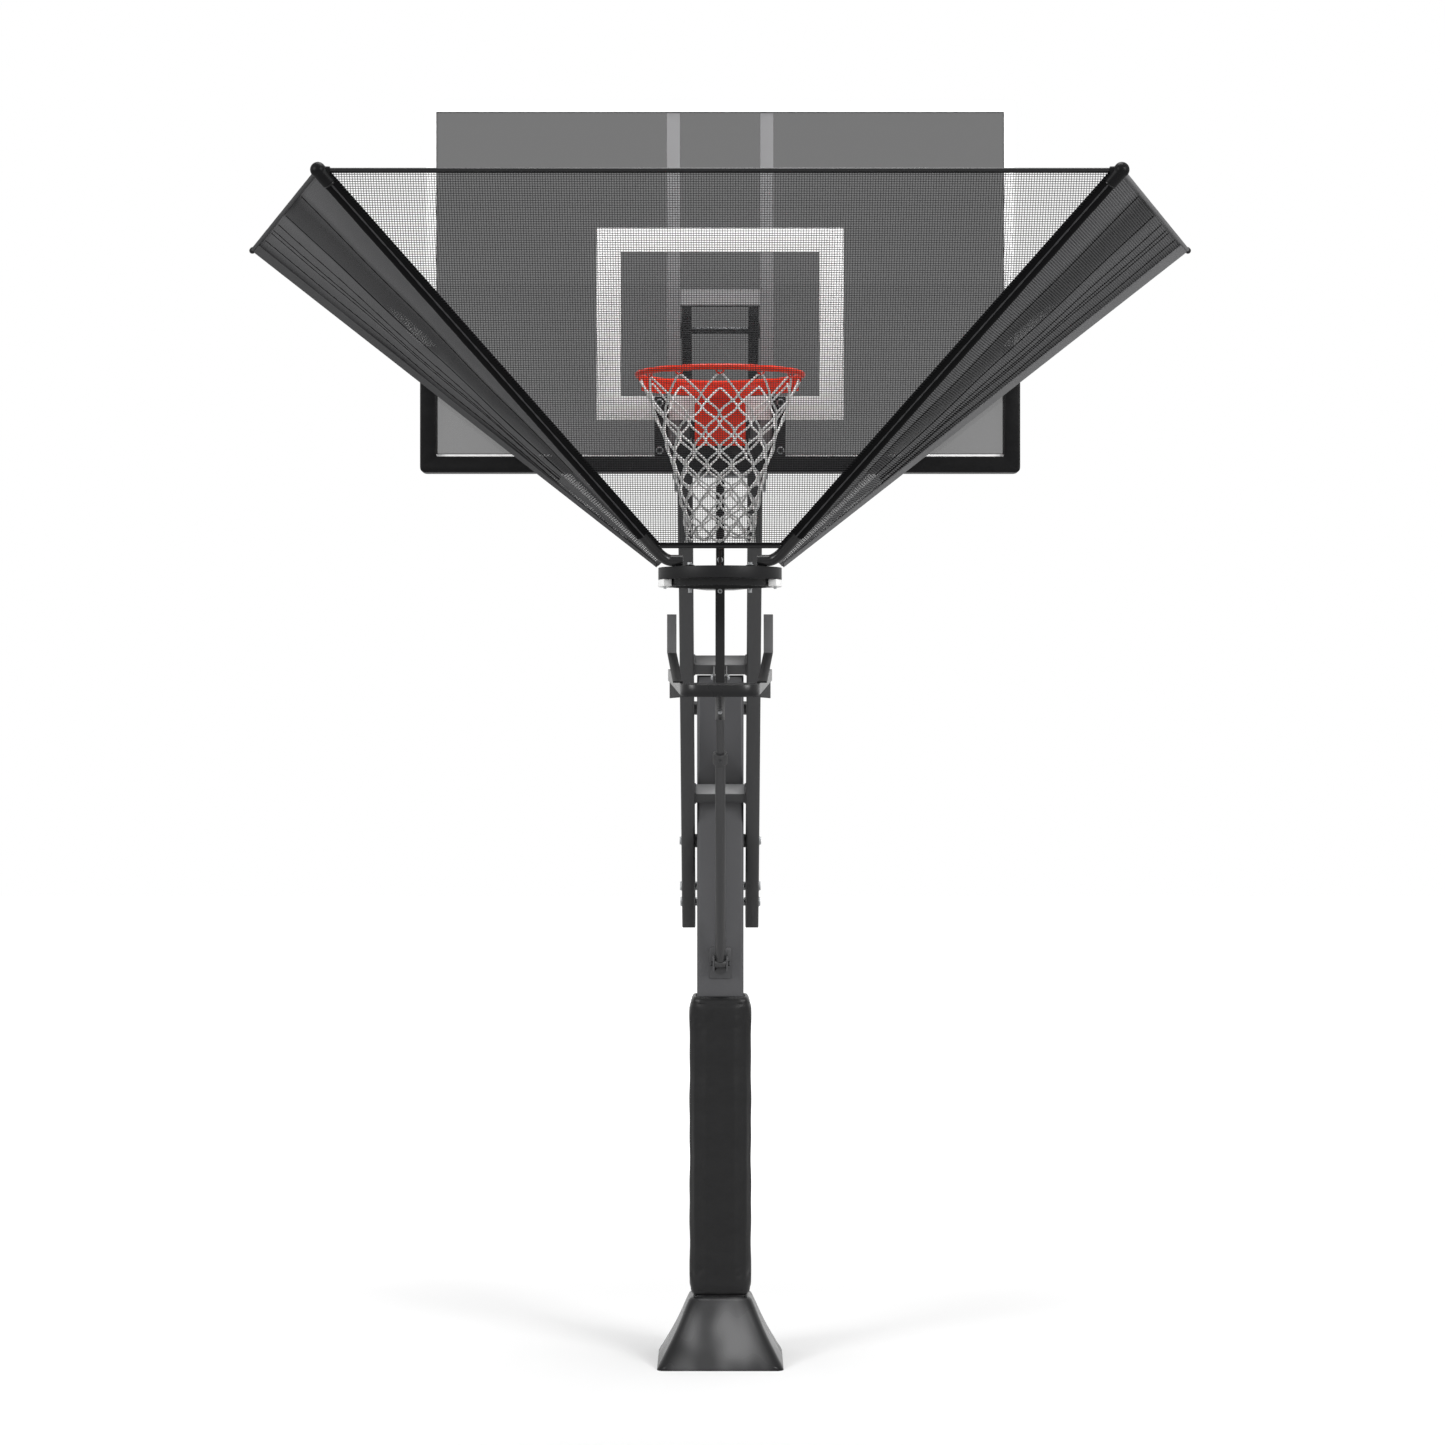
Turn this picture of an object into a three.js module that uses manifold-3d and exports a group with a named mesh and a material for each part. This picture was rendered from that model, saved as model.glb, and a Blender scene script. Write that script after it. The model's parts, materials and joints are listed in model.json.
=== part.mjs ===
// Basketball return system: an in-ground goal whose height is set by a pair of parallel arms,
// with a net funnel that catches the ball and a chute that sends it back.
// Millimetres, +Z up. The origin is the centre of the pole on the ground. The board faces -Y.
import * as THREE from "three";
import { mergeGeometries, mergeVertices } from "three/addons/utils/BufferGeometryUtils.js";
import Module from "manifold-3d";

const wasm = await Module();
wasm.setup();

// Fits
const seat = 0.3; // gap between pieces that touch
const boltFit = 0.5; // room round a bolt
const overrun = 5; // how far a cut runs past what it cuts
const weld = 1; // how far welded bars reach into each other
const mergeStep = 0.001; // vertices closer than this are one

// Pole and base
const poleSide = 150;
const poleWall = 5;
const poleCorner = 10;
const poleAbovePivot = 99; // upper pivot to the pole's top
const capThickness = 6;
const capSkirt = 30;
const capWall = 4;
const baseSide = 320;
const baseThickness = 16;
const gussetHeight = 100;
const gussetReach = 30;
const gussetThickness = 12;
const anchorSpacing = 250;
const anchorRadius = 10;
const anchorLength = 60;
const anchorNutRadius = 18;
const anchorNutHeight = 16;
const washerWidth = 36;
const washerThickness = 4;
const coverBottomSide = 404;
const coverTopSide = 194;
const coverHeight = 216;
const coverWall = 4;
const coverBottomCorner = 40;
const coverTopCorner = 26;
const padSide = 196;
const padTop = 1185;
const padCorner = 26;
const padEdge = 14;
const padFit = 0.6;

// Parallel arms
const pivotBehindAxis = 17;
const lowerPivotHeight = 1680;
const pivotSpacing = 430;
const frontPivotReach = 912;
const frontPivotHeight = 2800;
const lowerArmWidth = 44;
const lowerArmDepth = 76;
const armWall = 4;
const armCorner = 6;
const lowerArmGap = 7; // pole face to arm
const lowerArmRear = 350;
const lowerArmFront = 36;
const upperArmWidth = 29;
const upperArmDepth = 60;
const upperArmGap = 9.5;
const upperArmRear = 40;
const upperArmFront = 65;
const bossRadius = 22;
const pivotBoltRadius = 10;
const pivotHeadRadius = 17;
const pivotHeadHeight = 6;
const pivotTail = 10;
const crossbarDepth = 50;
const crossbarHeight = 38;
const upperCrossbarAlong = 730;
const lowerCrossbarRoom = 5.6; // lower crossbar to the pole's face
const rearTieAlong = [198, 268];
const tieSleeveRadius = 14;
const tieBoltRadius = 8;

// Height strut
const strutFootOut = 37; // pole face to the lower pin
const strutFootAbovePad = 105;
const strutPinRadius = 6;
const strutPinHeadRadius = 10;
const strutPinHeadHeight = 6;
const strutHeadDrop = 60; // upper crossbar's axis to the upper pin
const strutTubeRadius = 16;
const strutTubeWall = 3;
const strutTubeShort = 255.69; // upper pin to the tube's end
const strutRodRadius = 12.5;
const strutRodStart = 232.69; // lower pin to the rod's end
const strutEyeRadius = 23;
const strutEyeBore = 15;
const strutEyeWidth = 30;
const strutFootWidth = 34;
const strutFootStart = 12;
const collarRadius = 23;
const collarHeight = 36;
const lugThickness = 6;
const lugMargin = 16;
const lugGap = 1.5;
const bracketPlateWidth = 70;
const bracketPlateHeight = 100;
const bracketPlateThickness = 6;

// Board
const boardWidth = 1734;
const boardHeight = 1070;
const boardAbovePivot = 23;
const boardBeyondPivot = 100;
const glassThickness = 12;
const frameBorder = 31;
const frameLip = 3;
const frameWall = 8;
const frameDepth = 30;
const targetWidth = 728;
const targetHeight = 566;
const targetLine = 71;
const targetRise = 132; // this and the next rises start from the board's bottom
const targetThickness = 1;
const edgePadWidth = 47;
const edgePadOver = 16; // how far the edge pad stands outside the frame
const edgePadDepth = 76;
const edgePadRise = 347;
const edgePadCorner = 25;
const edgePadNotch = 400;

// Board subframe
const postInner = 118;
const postWidth = 39;
const postDepth = 30;
const postWall = 3;
const crossFlatRise = 470;
const crossFlatHeight = 47;
const crossFlatThickness = 8;
const mountPlateWidth = 380;
const mountPlateRise = 17;
const mountPlateHeight = 183;
const mountPlateGap = 0.5;
const crosspieceRise = 3;
const crosspieceHeight = 50;
const crosspieceDepth = 15.7;
const pivotPlateInner = 128;
const pivotPlateThickness = 8;
const pivotPlateBehind = 40; // pivot to the plate's rear edge
const pivotPlateMargin = 48;

// Rim and its bracket
const rimAboveBoardBottom = 227;
const rimBeyondBoard = 375;
const hoopRadius = 234;
const hoopTube = 8.5;
const braceThickness = 5;
const braceDrop = 37;
const braceHalfAngle = THREE.MathUtils.degToRad(72);
const hookRadius = 2.5;
const hookInset = 6;
const hookDrop = 14;
const hookCount = 12;
const rimBracketWidth = 385;
const rimBracketRise = 6;
const rimBracketThickness = 10;
const rimBracketLeg = 41;
const rimNotchRise = 104;
const sideNotchRise = 39;
const sideNotchInner = 90;
const rimBoltAcross = 178;
const rimBoltInset = 18;
const rimBoltRadius = 6;
const rimBoltHeadRadius = 11;
const rimBoltHeadHeight = 7;
const rimBoltStrap = 20;
const rimBoltStrapThickness = 4;
const housingWidth = 150;
const housingRise = 27;
const housingFrontBeyondBoard = 80;
const housingBackBeyondBoard = 20;
const housingWall = 4;
const neckWidth = 140;
const neckThickness = 12;
const neckRunIn = 36;
const rimHingeBeyondBoard = 28;
const rimHingeRise = 17;
const hingePinRadius = 6;
const hingeLugGap = 3;
const hingeLugSize = 32;
const springRadius = 15;
const springWire = 2.5;
const springRise = 52;
const springCurls = 6;
const netTopRadius = 226;
const netBottomRadius = 97;
const netDrop = 457;
const netStrandShare = 0.2;
const netThickness = 4;
const netRows = 6;
const netTaperShare = 1.6;

// Return ring, mast and chute
const ringRadius = 175.5;
const ringWall = 5;
const ringBelowRim = 582;
const ringHeight = 34;
const flangeInner = 159;
const flangeThickness = 4;
const mastWidth = 25;
const mastDepth = 42;
const mastAboveCrosspiece = 46;
const ringPlateHalf = 146;
const ringPlateThickness = 12;
const ringPlateBehindRim = 87;
const ringPlateRoom = 158.5;
const ringPlateTail = 40;
const gussetRise = 180;
const mastGussetThickness = 8;
const clampAcross = 87;
const clampWidth = 26;
const clampThickness = 14;
const clampRise = 16;
const clampBoltRadius = 7;
const clampBoltHeight = 6;
const shoeInner = 150;
const shoeOuter = 176;
const shoeDrop = 20; // this and the next drops start from the ring's bottom
const shoeHalfAngle = THREE.MathUtils.degToRad(25);
const swivelInner = 143;
const swivelWall = 4;
const swivelDrop = 20;
const swivelRise = 17;
const swivelCollar = 157.5;
const hangerWidth = 27;
const hangerDepth = 20;
const hangerFoot = 9;
const hangerFootHeight = 13;
const hangerDrop = 398;
const braceBar = 16;
const braceReach = 200;
const chuteBeyondRim = 325;
const chuteFrontHalf = 111.5;
const chuteBackHalf = 150;
const chuteDrop = 302;
const chuteSideRise = 51;
const chuteFloorRise = 12;
const bandWall = 4;
const bandHeight = 33;
const bandCorner = 70;
const rampThickness = 5;
const skirtWall = 4;
const guideWidth = 27;
const guideThickness = 5;
const guideInner = 125;
const guideBehindRim = 87;
const guideTopDrop = 95;
const guideBendDrop = 205;
const guideBeyondRim = 253;
const guideEndShift = 21.5;
const guideFoot = 15;

// Net frame
const tipAcross = 1047;
const tipBeyondRim = 825;
const tipRise = 1035; // this and the next rises start from the ring's bottom
const tubeFootAcross = 155;
const tubeFootBeyondRim = 108;
const netTubeRadius = 16;
const netTubeWall = 2;
const elbowLength = 95;
const elbowEnd = 104;
const elbowBend = 40;
const elbowEndBend = 20;
const barRadius = 5;
const bottomBarRise = 88;
const wingCornerAcross = 1364;
const wingCornerBehindRim = 275;
const wingCornerRise = 975;
const wingFootAcross = 178;
const wingFootRise = 39;
const wingRodRadius = 5;
const wingKnobRadius = 9;
const wingKnobLength = 18;
const fittingRadius = 20;
const tubeSleeveRadius = 19.5;
const tubeSleeveLength = 46;
const barSleeveRadius = 9;
const barSleeveLength = 32;
const barSocketStart = 12;
const tubeSocketStart = 24;
const socketRoom = 0.3;
const meshPitch = 150;
const nearestPoints = 0.3; // points of a gap closer than this are one
const meshStrand = 10;
const meshThickness = 3;
const frontHem = 14;
const wingHem = 32;

// Derived places
const poleTop = lowerPivotHeight + pivotSpacing + poleAbovePivot;
const armRun = frontPivotReach + pivotBehindAxis;
const armRise = frontPivotHeight - lowerPivotHeight;
const armLength = Math.hypot(armRun, armRise);
const armTilt = Math.atan2(armRun, armRise); // from upright
const lowerArmInner = poleSide / 2 + lowerArmGap;
const lowerArmOuter = lowerArmInner + lowerArmWidth;
const upperArmInner = poleSide / 2 + upperArmGap;
const upperArmOuter = upperArmInner + upperArmWidth;
const lowerCrossbarAlong = (poleSide / 2 + pivotBehindAxis + lowerCrossbarRoom) / Math.sin(armTilt) +
  crossbarDepth / 2 / Math.tan(armTilt) + crossbarHeight / 2;
const strutFootHeight = padTop + strutFootAbovePad;
const boardReach = frontPivotReach + boardBeyondPivot;
const boardBottom = frontPivotHeight + boardAbovePivot;
const targetBottom = boardBottom + targetRise;
const edgePadTop = boardBottom + edgePadRise;
const crossFlatBottom = boardBottom + crossFlatRise;
const crosspieceBottom = boardBottom + crosspieceRise;
const mountPlateBottom = boardBottom + mountPlateRise;
const mountPlateTop = mountPlateBottom + mountPlateHeight;
const glassFront = -boardReach;
const glassBack = glassFront + glassThickness;
const frameFront = glassFront - seat - frameLip;
const frameBack = frameFront + frameDepth;
const postFront = frameBack + seat;
const postBack = postFront + postDepth;
const boardTop = boardBottom + boardHeight;
const rimReach = boardReach + rimBeyondBoard;
const rimCentre = -rimReach;
const rimHeight = boardBottom + rimAboveBoardBottom;
const rimBracketBottom = mountPlateBottom + rimBracketRise;
const rimNotchBottom = rimBracketBottom + rimNotchRise;
const sideNotchBottom = rimBracketBottom + sideNotchRise;
const housingBottom = rimBracketBottom + housingRise;
const housingFrontReach = boardReach + housingFrontBeyondBoard;
const housingBackReach = boardReach + housingBackBeyondBoard;
const rimHingeReach = boardReach + rimHingeBeyondBoard;
const rimHingeHeight = housingBottom + rimHingeRise;
const springHeight = housingBottom + springRise;
const rimBracketFront = frameFront - seat - rimBracketThickness;
const ringBottom = rimHeight - ringBelowRim;
const ringTop = ringBottom + ringHeight;
const mastTop = crosspieceBottom + mastAboveCrosspiece;
const ringPlateFront = rimReach - ringPlateBehindRim;
const clampTop = ringTop + clampRise;
const shoeBottom = ringBottom - shoeDrop;
const swivelBottom = ringBottom - swivelDrop;
const swivelTop = ringBottom + swivelRise;
const hangerBottom = ringBottom - hangerDrop;
const chuteFrontReach = rimReach + chuteBeyondRim;
const chuteFrontTop = ringBottom - chuteDrop;
const chuteBackTop = chuteFrontTop + chuteSideRise;
const guideReach = rimReach - guideBehindRim;
const guideTop = ringBottom - guideTopDrop;
const guideBend = ringBottom - guideBendDrop;
const guideEndReach = rimReach + guideBeyondRim;
const tipReach = rimReach + tipBeyondRim;
const tipHeight = ringBottom + tipRise;
const tubeFootReach = rimReach + tubeFootBeyondRim;
const bottomBarHeight = ringBottom + bottomBarRise;
const wingCornerReach = rimReach - wingCornerBehindRim;
const wingCornerHeight = ringBottom + wingCornerRise;
const wingFootHeight = ringBottom + wingFootRise;
const tubeFootHeight = ringTop + seat + netTubeRadius;
const chuteRun = chuteBeyondRim + swivelInner + swivelWall;
const sideSlope = chuteSideRise / chuteRun;
const floorSlope = chuteFloorRise / chuteRun;
const hangerFront = rimCentre + swivelInner + swivelWall + seat;
const chuteBack = hangerFront - seat;
const strutFootY = -poleSide / 2 - strutFootOut;

// Finishes
const paint = (color, roughness, metalness = 0) =>
  new THREE.MeshStandardMaterial({ color, roughness, metalness });
const darkSteel = paint(0x4a4a4c, 0.45, 0.3);
const poleSteel = paint(0x525254, 0.4, 0.3);
const paleSteel = paint(0xb9babb, 0.5, 0.2);
const whitePaint = paint(0xf2f2f2, 0.4);
const zinc = paint(0x8c8e90, 0.35, 0.9);
const clearGlass = new THREE.MeshStandardMaterial({
  color: 0x767879, roughness: 0.05, transparent: true, opacity: 0.4,
});
const blackVinyl = paint(0x242425, 0.5);
const blackPlastic = paint(0x1c1c1d, 0.35);
const rimPaint = paint(0xe53c1e, 0.4);
const blackPaint = paint(0x1b1b1c, 0.5, 0.2);
const whiteNylon = paint(0xeeeeec, 0.55);
const blackNet = paint(0x2b2b2c, 0.9);
const whiteNet = paint(0xf4f4f2, 0.9);

// Solids: joining, cutting and small shapes
function loosened(geometry) {
  return geometry.index ? geometry.toNonIndexed() : geometry.clone();
}

function solidOf(geometry) {
  const loose = loosened(geometry);
  const bare = new THREE.BufferGeometry();
  bare.setAttribute("position", loose.getAttribute("position"));
  const merged = mergeVertices(bare, mergeStep);
  const mesh = new wasm.Mesh({
    numProp: 3,
    vertProperties: merged.attributes.position.array,
    triVerts: new Uint32Array(merged.index.array),
  });
  return new wasm.Manifold(mesh);
}

function geometryOf(solid) {
  const mesh = solid.getMesh();
  const geometry = new THREE.BufferGeometry();
  geometry.setAttribute("position", new THREE.BufferAttribute(mesh.vertProperties, 3));
  geometry.setIndex(new THREE.BufferAttribute(mesh.triVerts, 1));
  const flat = geometry.toNonIndexed();
  flat.computeVertexNormals();
  return flat;
}

function join(...geometries) {
  const [first, ...rest] = geometries.map(solidOf);
  return geometryOf(rest.reduce((whole, next) => whole.add(next), first));
}

function cut(geometry, ...tools) {
  return geometryOf(tools.reduce((whole, tool) => whole.subtract(solidOf(tool)), solidOf(geometry)));
}

function mirrored(geometry) {
  const flipped = loosened(geometry).scale(-1, 1, 1);
  const position = flipped.getAttribute("position");
  const corner = new THREE.Vector3();
  const other = new THREE.Vector3();
  for (let i = 0; i < position.count; i += 3) {
    corner.fromBufferAttribute(position, i + 1);
    other.fromBufferAttribute(position, i + 2);
    position.setXYZ(i + 1, other.x, other.y, other.z);
    position.setXYZ(i + 2, corner.x, corner.y, corner.z);
  }
  flipped.computeVertexNormals();
  return flipped;
}

function bothSides(make) {
  return { left: mirrored(make()), right: make() };
}

// A box between two corners.
function block(x0, x1, y0, y1, z0, z1) {
  const box = new THREE.BoxGeometry(x1 - x0, y1 - y0, z1 - z0);
  return box.translate((x0 + x1) / 2, (y0 + y1) / 2, (z0 + z1) / 2);
}

function rodAlongX(radius, x0, x1, y, z, sides = 12) {
  const rod = new THREE.CylinderGeometry(radius, radius, x1 - x0, sides);
  return rod.rotateZ(-Math.PI / 2).translate((x0 + x1) / 2, y, z);
}

function rodAlongY(radius, y0, y1, x, z, sides = 12) {
  const rod = new THREE.CylinderGeometry(radius, radius, y1 - y0, sides);
  return rod.translate(x, (y0 + y1) / 2, z);
}

function rodAlongZ(radius, z0, z1, x, y, sides = 12) {
  const rod = new THREE.CylinderGeometry(radius, radius, z1 - z0, sides);
  return rod.rotateX(Math.PI / 2).translate(x, y, (z0 + z1) / 2);
}

function rectangle(width, depth, corner, Kind = THREE.Shape) {
  const outline = new Kind();
  const x = width / 2 - corner;
  const y = depth / 2 - corner;
  outline.absarc(x, y, corner, 0, Math.PI / 2);
  outline.absarc(-x, y, corner, Math.PI / 2, Math.PI);
  outline.absarc(-x, -y, corner, Math.PI, Math.PI * 1.5);
  outline.absarc(x, -y, corner, Math.PI * 1.5, Math.PI * 2);
  outline.closePath();
  return outline;
}

function extrude(outline, depth, curveSegments = 1) {
  return new THREE.ExtrudeGeometry(outline, { depth, curveSegments, bevelEnabled: false });
}

// A square tube that stands on Z.
function squareTube(width, depth, wall, corner, length) {
  const outline = rectangle(width, depth, corner);
  outline.holes.push(rectangle(width - 2 * wall, depth - 2 * wall, corner / 2, THREE.Path));
  return extrude(outline, length);
}

function roundTube(radius, wall, length, segments = 8) {
  const outline = new THREE.Shape().absarc(0, 0, radius, 0, Math.PI * 2);
  outline.holes.push(new THREE.Path().absarc(0, 0, radius - wall, 0, Math.PI * 2));
  return extrude(outline, length, segments);
}

// An outline in (Y, Z), given as pairs, made a plate from x0 to x1.
function plateAcrossX(points, x0, x1, window = []) {
  const outline = new THREE.Shape(points.map(([y, z]) => new THREE.Vector2(y, z)));
  if (window.length) outline.holes.push(new THREE.Path(window.map(([y, z]) => new THREE.Vector2(y, z))));
  const plate = extrude(outline, x1 - x0);
  // The outline's own x and y become Y and Z, and its depth becomes X.
  plate.applyMatrix4(new THREE.Matrix4().set(0, 0, 1, x0, 1, 0, 0, 0, 0, 1, 0, 0, 0, 0, 0, 1));
  return plate;
}

// A plate with its outline in (X, Y), from z0 to z1.
function plateAcrossZ(outline, z0, z1, curveSegments = 8) {
  return extrude(outline, z1 - z0, curveSegments).translate(0, 0, z0);
}

// A plate with its outline in (X, Z), from y0 to y1.
function plateAcrossY(outline, y0, y1, curveSegments = 4) {
  return extrude(outline, y1 - y0, curveSegments).rotateX(Math.PI / 2).translate(0, y1, 0);
}

// A turned ring from its section in (radius, height), about Z.
function turnedRing(section, segments) {
  const points = [...section, section[0]].map(([r, z]) => new THREE.Vector2(r, z));
  return new THREE.LatheGeometry(points, segments).rotateX(Math.PI / 2);
}

// A skin through rings of points that all have as many points. The last ring meets the first.
function loftLoop(rings) {
  const count = rings[0].length;
  const positions = rings.flat().flatMap((p) => [p.x, p.y, p.z]);
  const index = [];
  rings.forEach((ring, level) => {
    const next = (level + 1) % rings.length;
    for (let i = 0; i < count; i += 1) {
      const j = (i + 1) % count;
      const [a, b] = [level * count + i, level * count + j];
      const [c, d] = [next * count + j, next * count + i];
      index.push(a, b, c, a, c, d);
    }
  });
  const skin = new THREE.BufferGeometry();
  skin.setAttribute("position", new THREE.Float32BufferAttribute(positions, 3));
  skin.setIndex(index);
  return skin.toNonIndexed();
}

function squareRing(side, corner, z) {
  const points = rectangle(side, side, corner).getPoints(2);
  const ring = points.slice(0, -1).map((p) => new THREE.Vector3(p.x, p.y, z));
  return ring.filter((p, i) => i === 0 || p.distanceTo(ring[i - 1]) > mergeStep);
}

function boltAcross(reach, radius, headRadius, headHeight, tail, y, z) {
  const end = reach + headHeight + tail;
  return join(
    rodAlongX(radius, -end, end, y, z, 12),
    rodAlongX(headRadius, reach, reach + headHeight, y, z, 6),
    rodAlongX(headRadius, -reach - headHeight, -reach, y, z, 6),
  );
}

// A round bar or tube laid from one point to another, as a placed mesh.
function layBetween(mesh, from, to) {
  const direction = to.clone().sub(from).normalize();
  mesh.quaternion.setFromUnitVectors(new THREE.Vector3(0, 0, 1), direction);
  mesh.position.copy(from);
  return mesh;
}

function layGeometry(geometry, from, to) {
  const mesh = layBetween(new THREE.Object3D(), from, to);
  mesh.updateMatrix();
  return geometry.applyMatrix4(mesh.matrix);
}

// The assembly
const goal = new THREE.Group();

function node(group, name, geometry, material) {
  const mesh = new THREE.Mesh(geometry, material);
  mesh.name = name;
  group.add(mesh);
  return mesh;
}

function pair(group, name, make, material) {
  const sides = bothSides(make);
  node(group, `${name}_left`, sides.left, material);
  node(group, `${name}_right`, sides.right, material);
}

// Base plate, anchors, cover
function addBase() {
  const plate = block(-baseSide / 2, baseSide / 2, -baseSide / 2, baseSide / 2, 0, baseThickness);
  const gussetStart = poleSide / 2 + seat;
  const gusset = plateAcrossX(
    [
      [gussetStart, baseThickness - weld],
      [gussetStart + gussetReach, baseThickness - weld],
      [gussetStart, baseThickness + gussetHeight],
    ],
    -gussetThickness / 2,
    gussetThickness / 2,
  );
  const gussets = [0, 1, 2, 3].map((turn) => gusset.clone().rotateZ((turn * Math.PI) / 2));
  const corners = [[1, 1], [1, -1], [-1, -1], [-1, 1]].map(([x, y]) => [
    (x * anchorSpacing) / 2,
    (y * anchorSpacing) / 2,
  ]);
  const holes = corners.map(([x, y]) =>
    rodAlongZ(anchorRadius + boltFit, -overrun, baseThickness + overrun, x, y));
  node(goal, "base_plate", cut(join(plate, ...gussets), ...holes), darkSteel);

  const washerBottom = baseThickness + seat;
  const washerTop = washerBottom + washerThickness;
  const washer = rectangle(anchorSpacing + washerWidth, anchorSpacing + washerWidth, washerWidth / 4);
  const inside = anchorSpacing - washerWidth;
  washer.holes.push(rectangle(inside, inside, washerWidth / 4, THREE.Path));
  const studs = corners.flatMap(([x, y]) => [
    rodAlongZ(anchorRadius, weld, anchorLength, x, y, 8),
    rodAlongZ(anchorNutRadius, washerTop - weld, washerTop + anchorNutHeight, x, y, 6),
  ]);
  node(goal, "anchor_bolts", join(plateAcrossZ(washer, washerBottom, washerTop, 2), ...studs), zinc);

  const rimInside = poleSide + 2 * padFit;
  const rings = [
    squareRing(coverBottomSide, coverBottomCorner, 0),
    squareRing(coverTopSide, coverTopCorner, coverHeight),
    squareRing(rimInside, poleCorner, coverHeight),
    squareRing(rimInside, poleCorner, coverHeight - coverWall),
    squareRing(coverTopSide - 2 * coverWall, coverTopCorner - coverWall, coverHeight - coverWall),
    squareRing(coverBottomSide - 2 * coverWall, coverBottomCorner - coverWall, 0),
  ];
  node(goal, "base_cover", loftLoop(rings), blackPlastic);
}

// Pole with cap, pad and pivot bolts
function addPole() {
  const bottom = baseThickness + seat;
  const tube = squareTube(poleSide, poleSide, poleWall, poleCorner, poleTop - bottom);
  const bores = [lowerPivotHeight, lowerPivotHeight + pivotSpacing].map((z) =>
    rodAlongX(pivotBoltRadius + boltFit, -poleSide, poleSide, pivotBehindAxis, z));
  node(goal, "pole", cut(tube.translate(0, 0, bottom), ...bores), poleSteel);

  const skirtSide = poleSide - 2 * poleWall - 2 * seat;
  const skirt = squareTube(skirtSide, skirtSide, capWall, poleCorner / 2, capSkirt + weld);
  const lid = extrude(rectangle(poleSide, poleSide, poleCorner), capThickness);
  const cap = join(
    skirt.translate(0, 0, poleTop + seat - capSkirt),
    lid.translate(0, 0, poleTop + seat),
  );
  node(goal, "pole_cap", cap, blackPlastic);

  const padBottom = coverHeight + seat;
  const inside = poleSide + 2 * padFit;
  const rings = [
    squareRing(padSide - padEdge, padCorner, padBottom),
    squareRing(padSide, padCorner, padBottom + padEdge),
    squareRing(padSide, padCorner, padTop - padEdge),
    squareRing(padSide - padEdge, padCorner, padTop),
    squareRing(inside, poleCorner, padTop),
    squareRing(inside, poleCorner, padBottom),
  ];
  node(goal, "pole_pad", loftLoop(rings), blackVinyl);

  const lower = boltAcross(lowerArmOuter + seat, pivotBoltRadius, pivotHeadRadius, pivotHeadHeight,
    0, pivotBehindAxis, lowerPivotHeight);
  node(goal, "lower_pivot_bolt", lower, zinc);
  const upper = boltAcross(upperArmOuter + seat, pivotBoltRadius, pivotHeadRadius, pivotHeadHeight,
    pivotTail, pivotBehindAxis, lowerPivotHeight + pivotSpacing);
  node(goal, "upper_pivot_bolt", upper, zinc);
}

// An arm on its pivot: local Z runs along it and local Y is its upper side.
function armTube(inner, width, depth, rear, front, bossGap, bores) {
  const outer = inner + width;
  const tube = squareTube(width, depth, armWall, armCorner, rear + armLength + front);
  tube.translate(inner + width / 2, 0, -rear);
  const boss = rodAlongX(bossRadius, inner - bossGap + seat, inner + weld, 0, 0);
  const holes = bores.map(([along, radius]) =>
    rodAlongX(radius, inner - bossGap - overrun, outer + overrun, 0, along));
  return cut(join(tube, boss), ...holes);
}

function addLowerArms() {
  const arms = new THREE.Group();
  arms.position.set(0, pivotBehindAxis, lowerPivotHeight);
  arms.rotation.x = armTilt;
  goal.add(arms);

  const boltBore = pivotBoltRadius + boltFit;
  const bores = [[0, boltBore], [armLength, boltBore]];
  rearTieAlong.forEach((along) => bores.push([-along, tieBoltRadius + boltFit]));
  pair(arms, "lower_arm", () => armTube(lowerArmInner, lowerArmWidth, lowerArmDepth, lowerArmRear,
    lowerArmFront, lowerArmGap, bores), darkSteel);

  const reach = lowerArmInner - seat;
  const bar = (along) => block(-reach, reach, -crossbarDepth / 2, crossbarDepth / 2,
    along - crossbarHeight / 2, along + crossbarHeight / 2);
  node(arms, "lower_crossbar", bar(lowerCrossbarAlong), darkSteel);

  const lugInner = strutEyeWidth / 2 + lugGap;
  const lugTip = -strutHeadDrop - lugMargin;
  const lug = block(lugInner, lugInner + lugThickness, lugTip, weld - crossbarDepth / 2,
    upperCrossbarAlong - lugMargin, upperCrossbarAlong + lugMargin);
  const pinBore = rodAlongX(strutPinRadius + boltFit, -reach, reach, -strutHeadDrop, upperCrossbarAlong);
  const upperBar = cut(join(bar(upperCrossbarAlong), lug, mirrored(lug)), pinBore);
  node(arms, "upper_crossbar", upperBar, darkSteel);

  const pin = boltAcross(lugInner + lugThickness + seat, strutPinRadius, strutPinHeadRadius,
    strutPinHeadHeight, 0, -strutHeadDrop, upperCrossbarAlong);
  node(arms, "strut_upper_pin", pin, zinc);

  ["upper", "lower"].forEach((name, i) => {
    const along = -rearTieAlong[i];
    const bolt = boltAcross(lowerArmOuter + seat, tieBoltRadius, pivotHeadRadius, pivotHeadHeight,
      0, 0, along);
    const tie = join(bolt, rodAlongX(tieSleeveRadius, -reach, reach, 0, along));
    node(arms, `rear_tie_${name}`, tie, zinc);
  });
}

function addUpperArms() {
  const arms = new THREE.Group();
  arms.position.set(0, pivotBehindAxis, lowerPivotHeight + pivotSpacing);
  arms.rotation.x = armTilt;
  goal.add(arms);
  const boltBore = pivotBoltRadius + boltFit;
  pair(arms, "upper_arm", () => armTube(upperArmInner, upperArmWidth, upperArmDepth, upperArmRear,
    upperArmFront, upperArmGap, [[0, boltBore], [armLength, boltBore]]), darkSteel);
}

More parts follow.
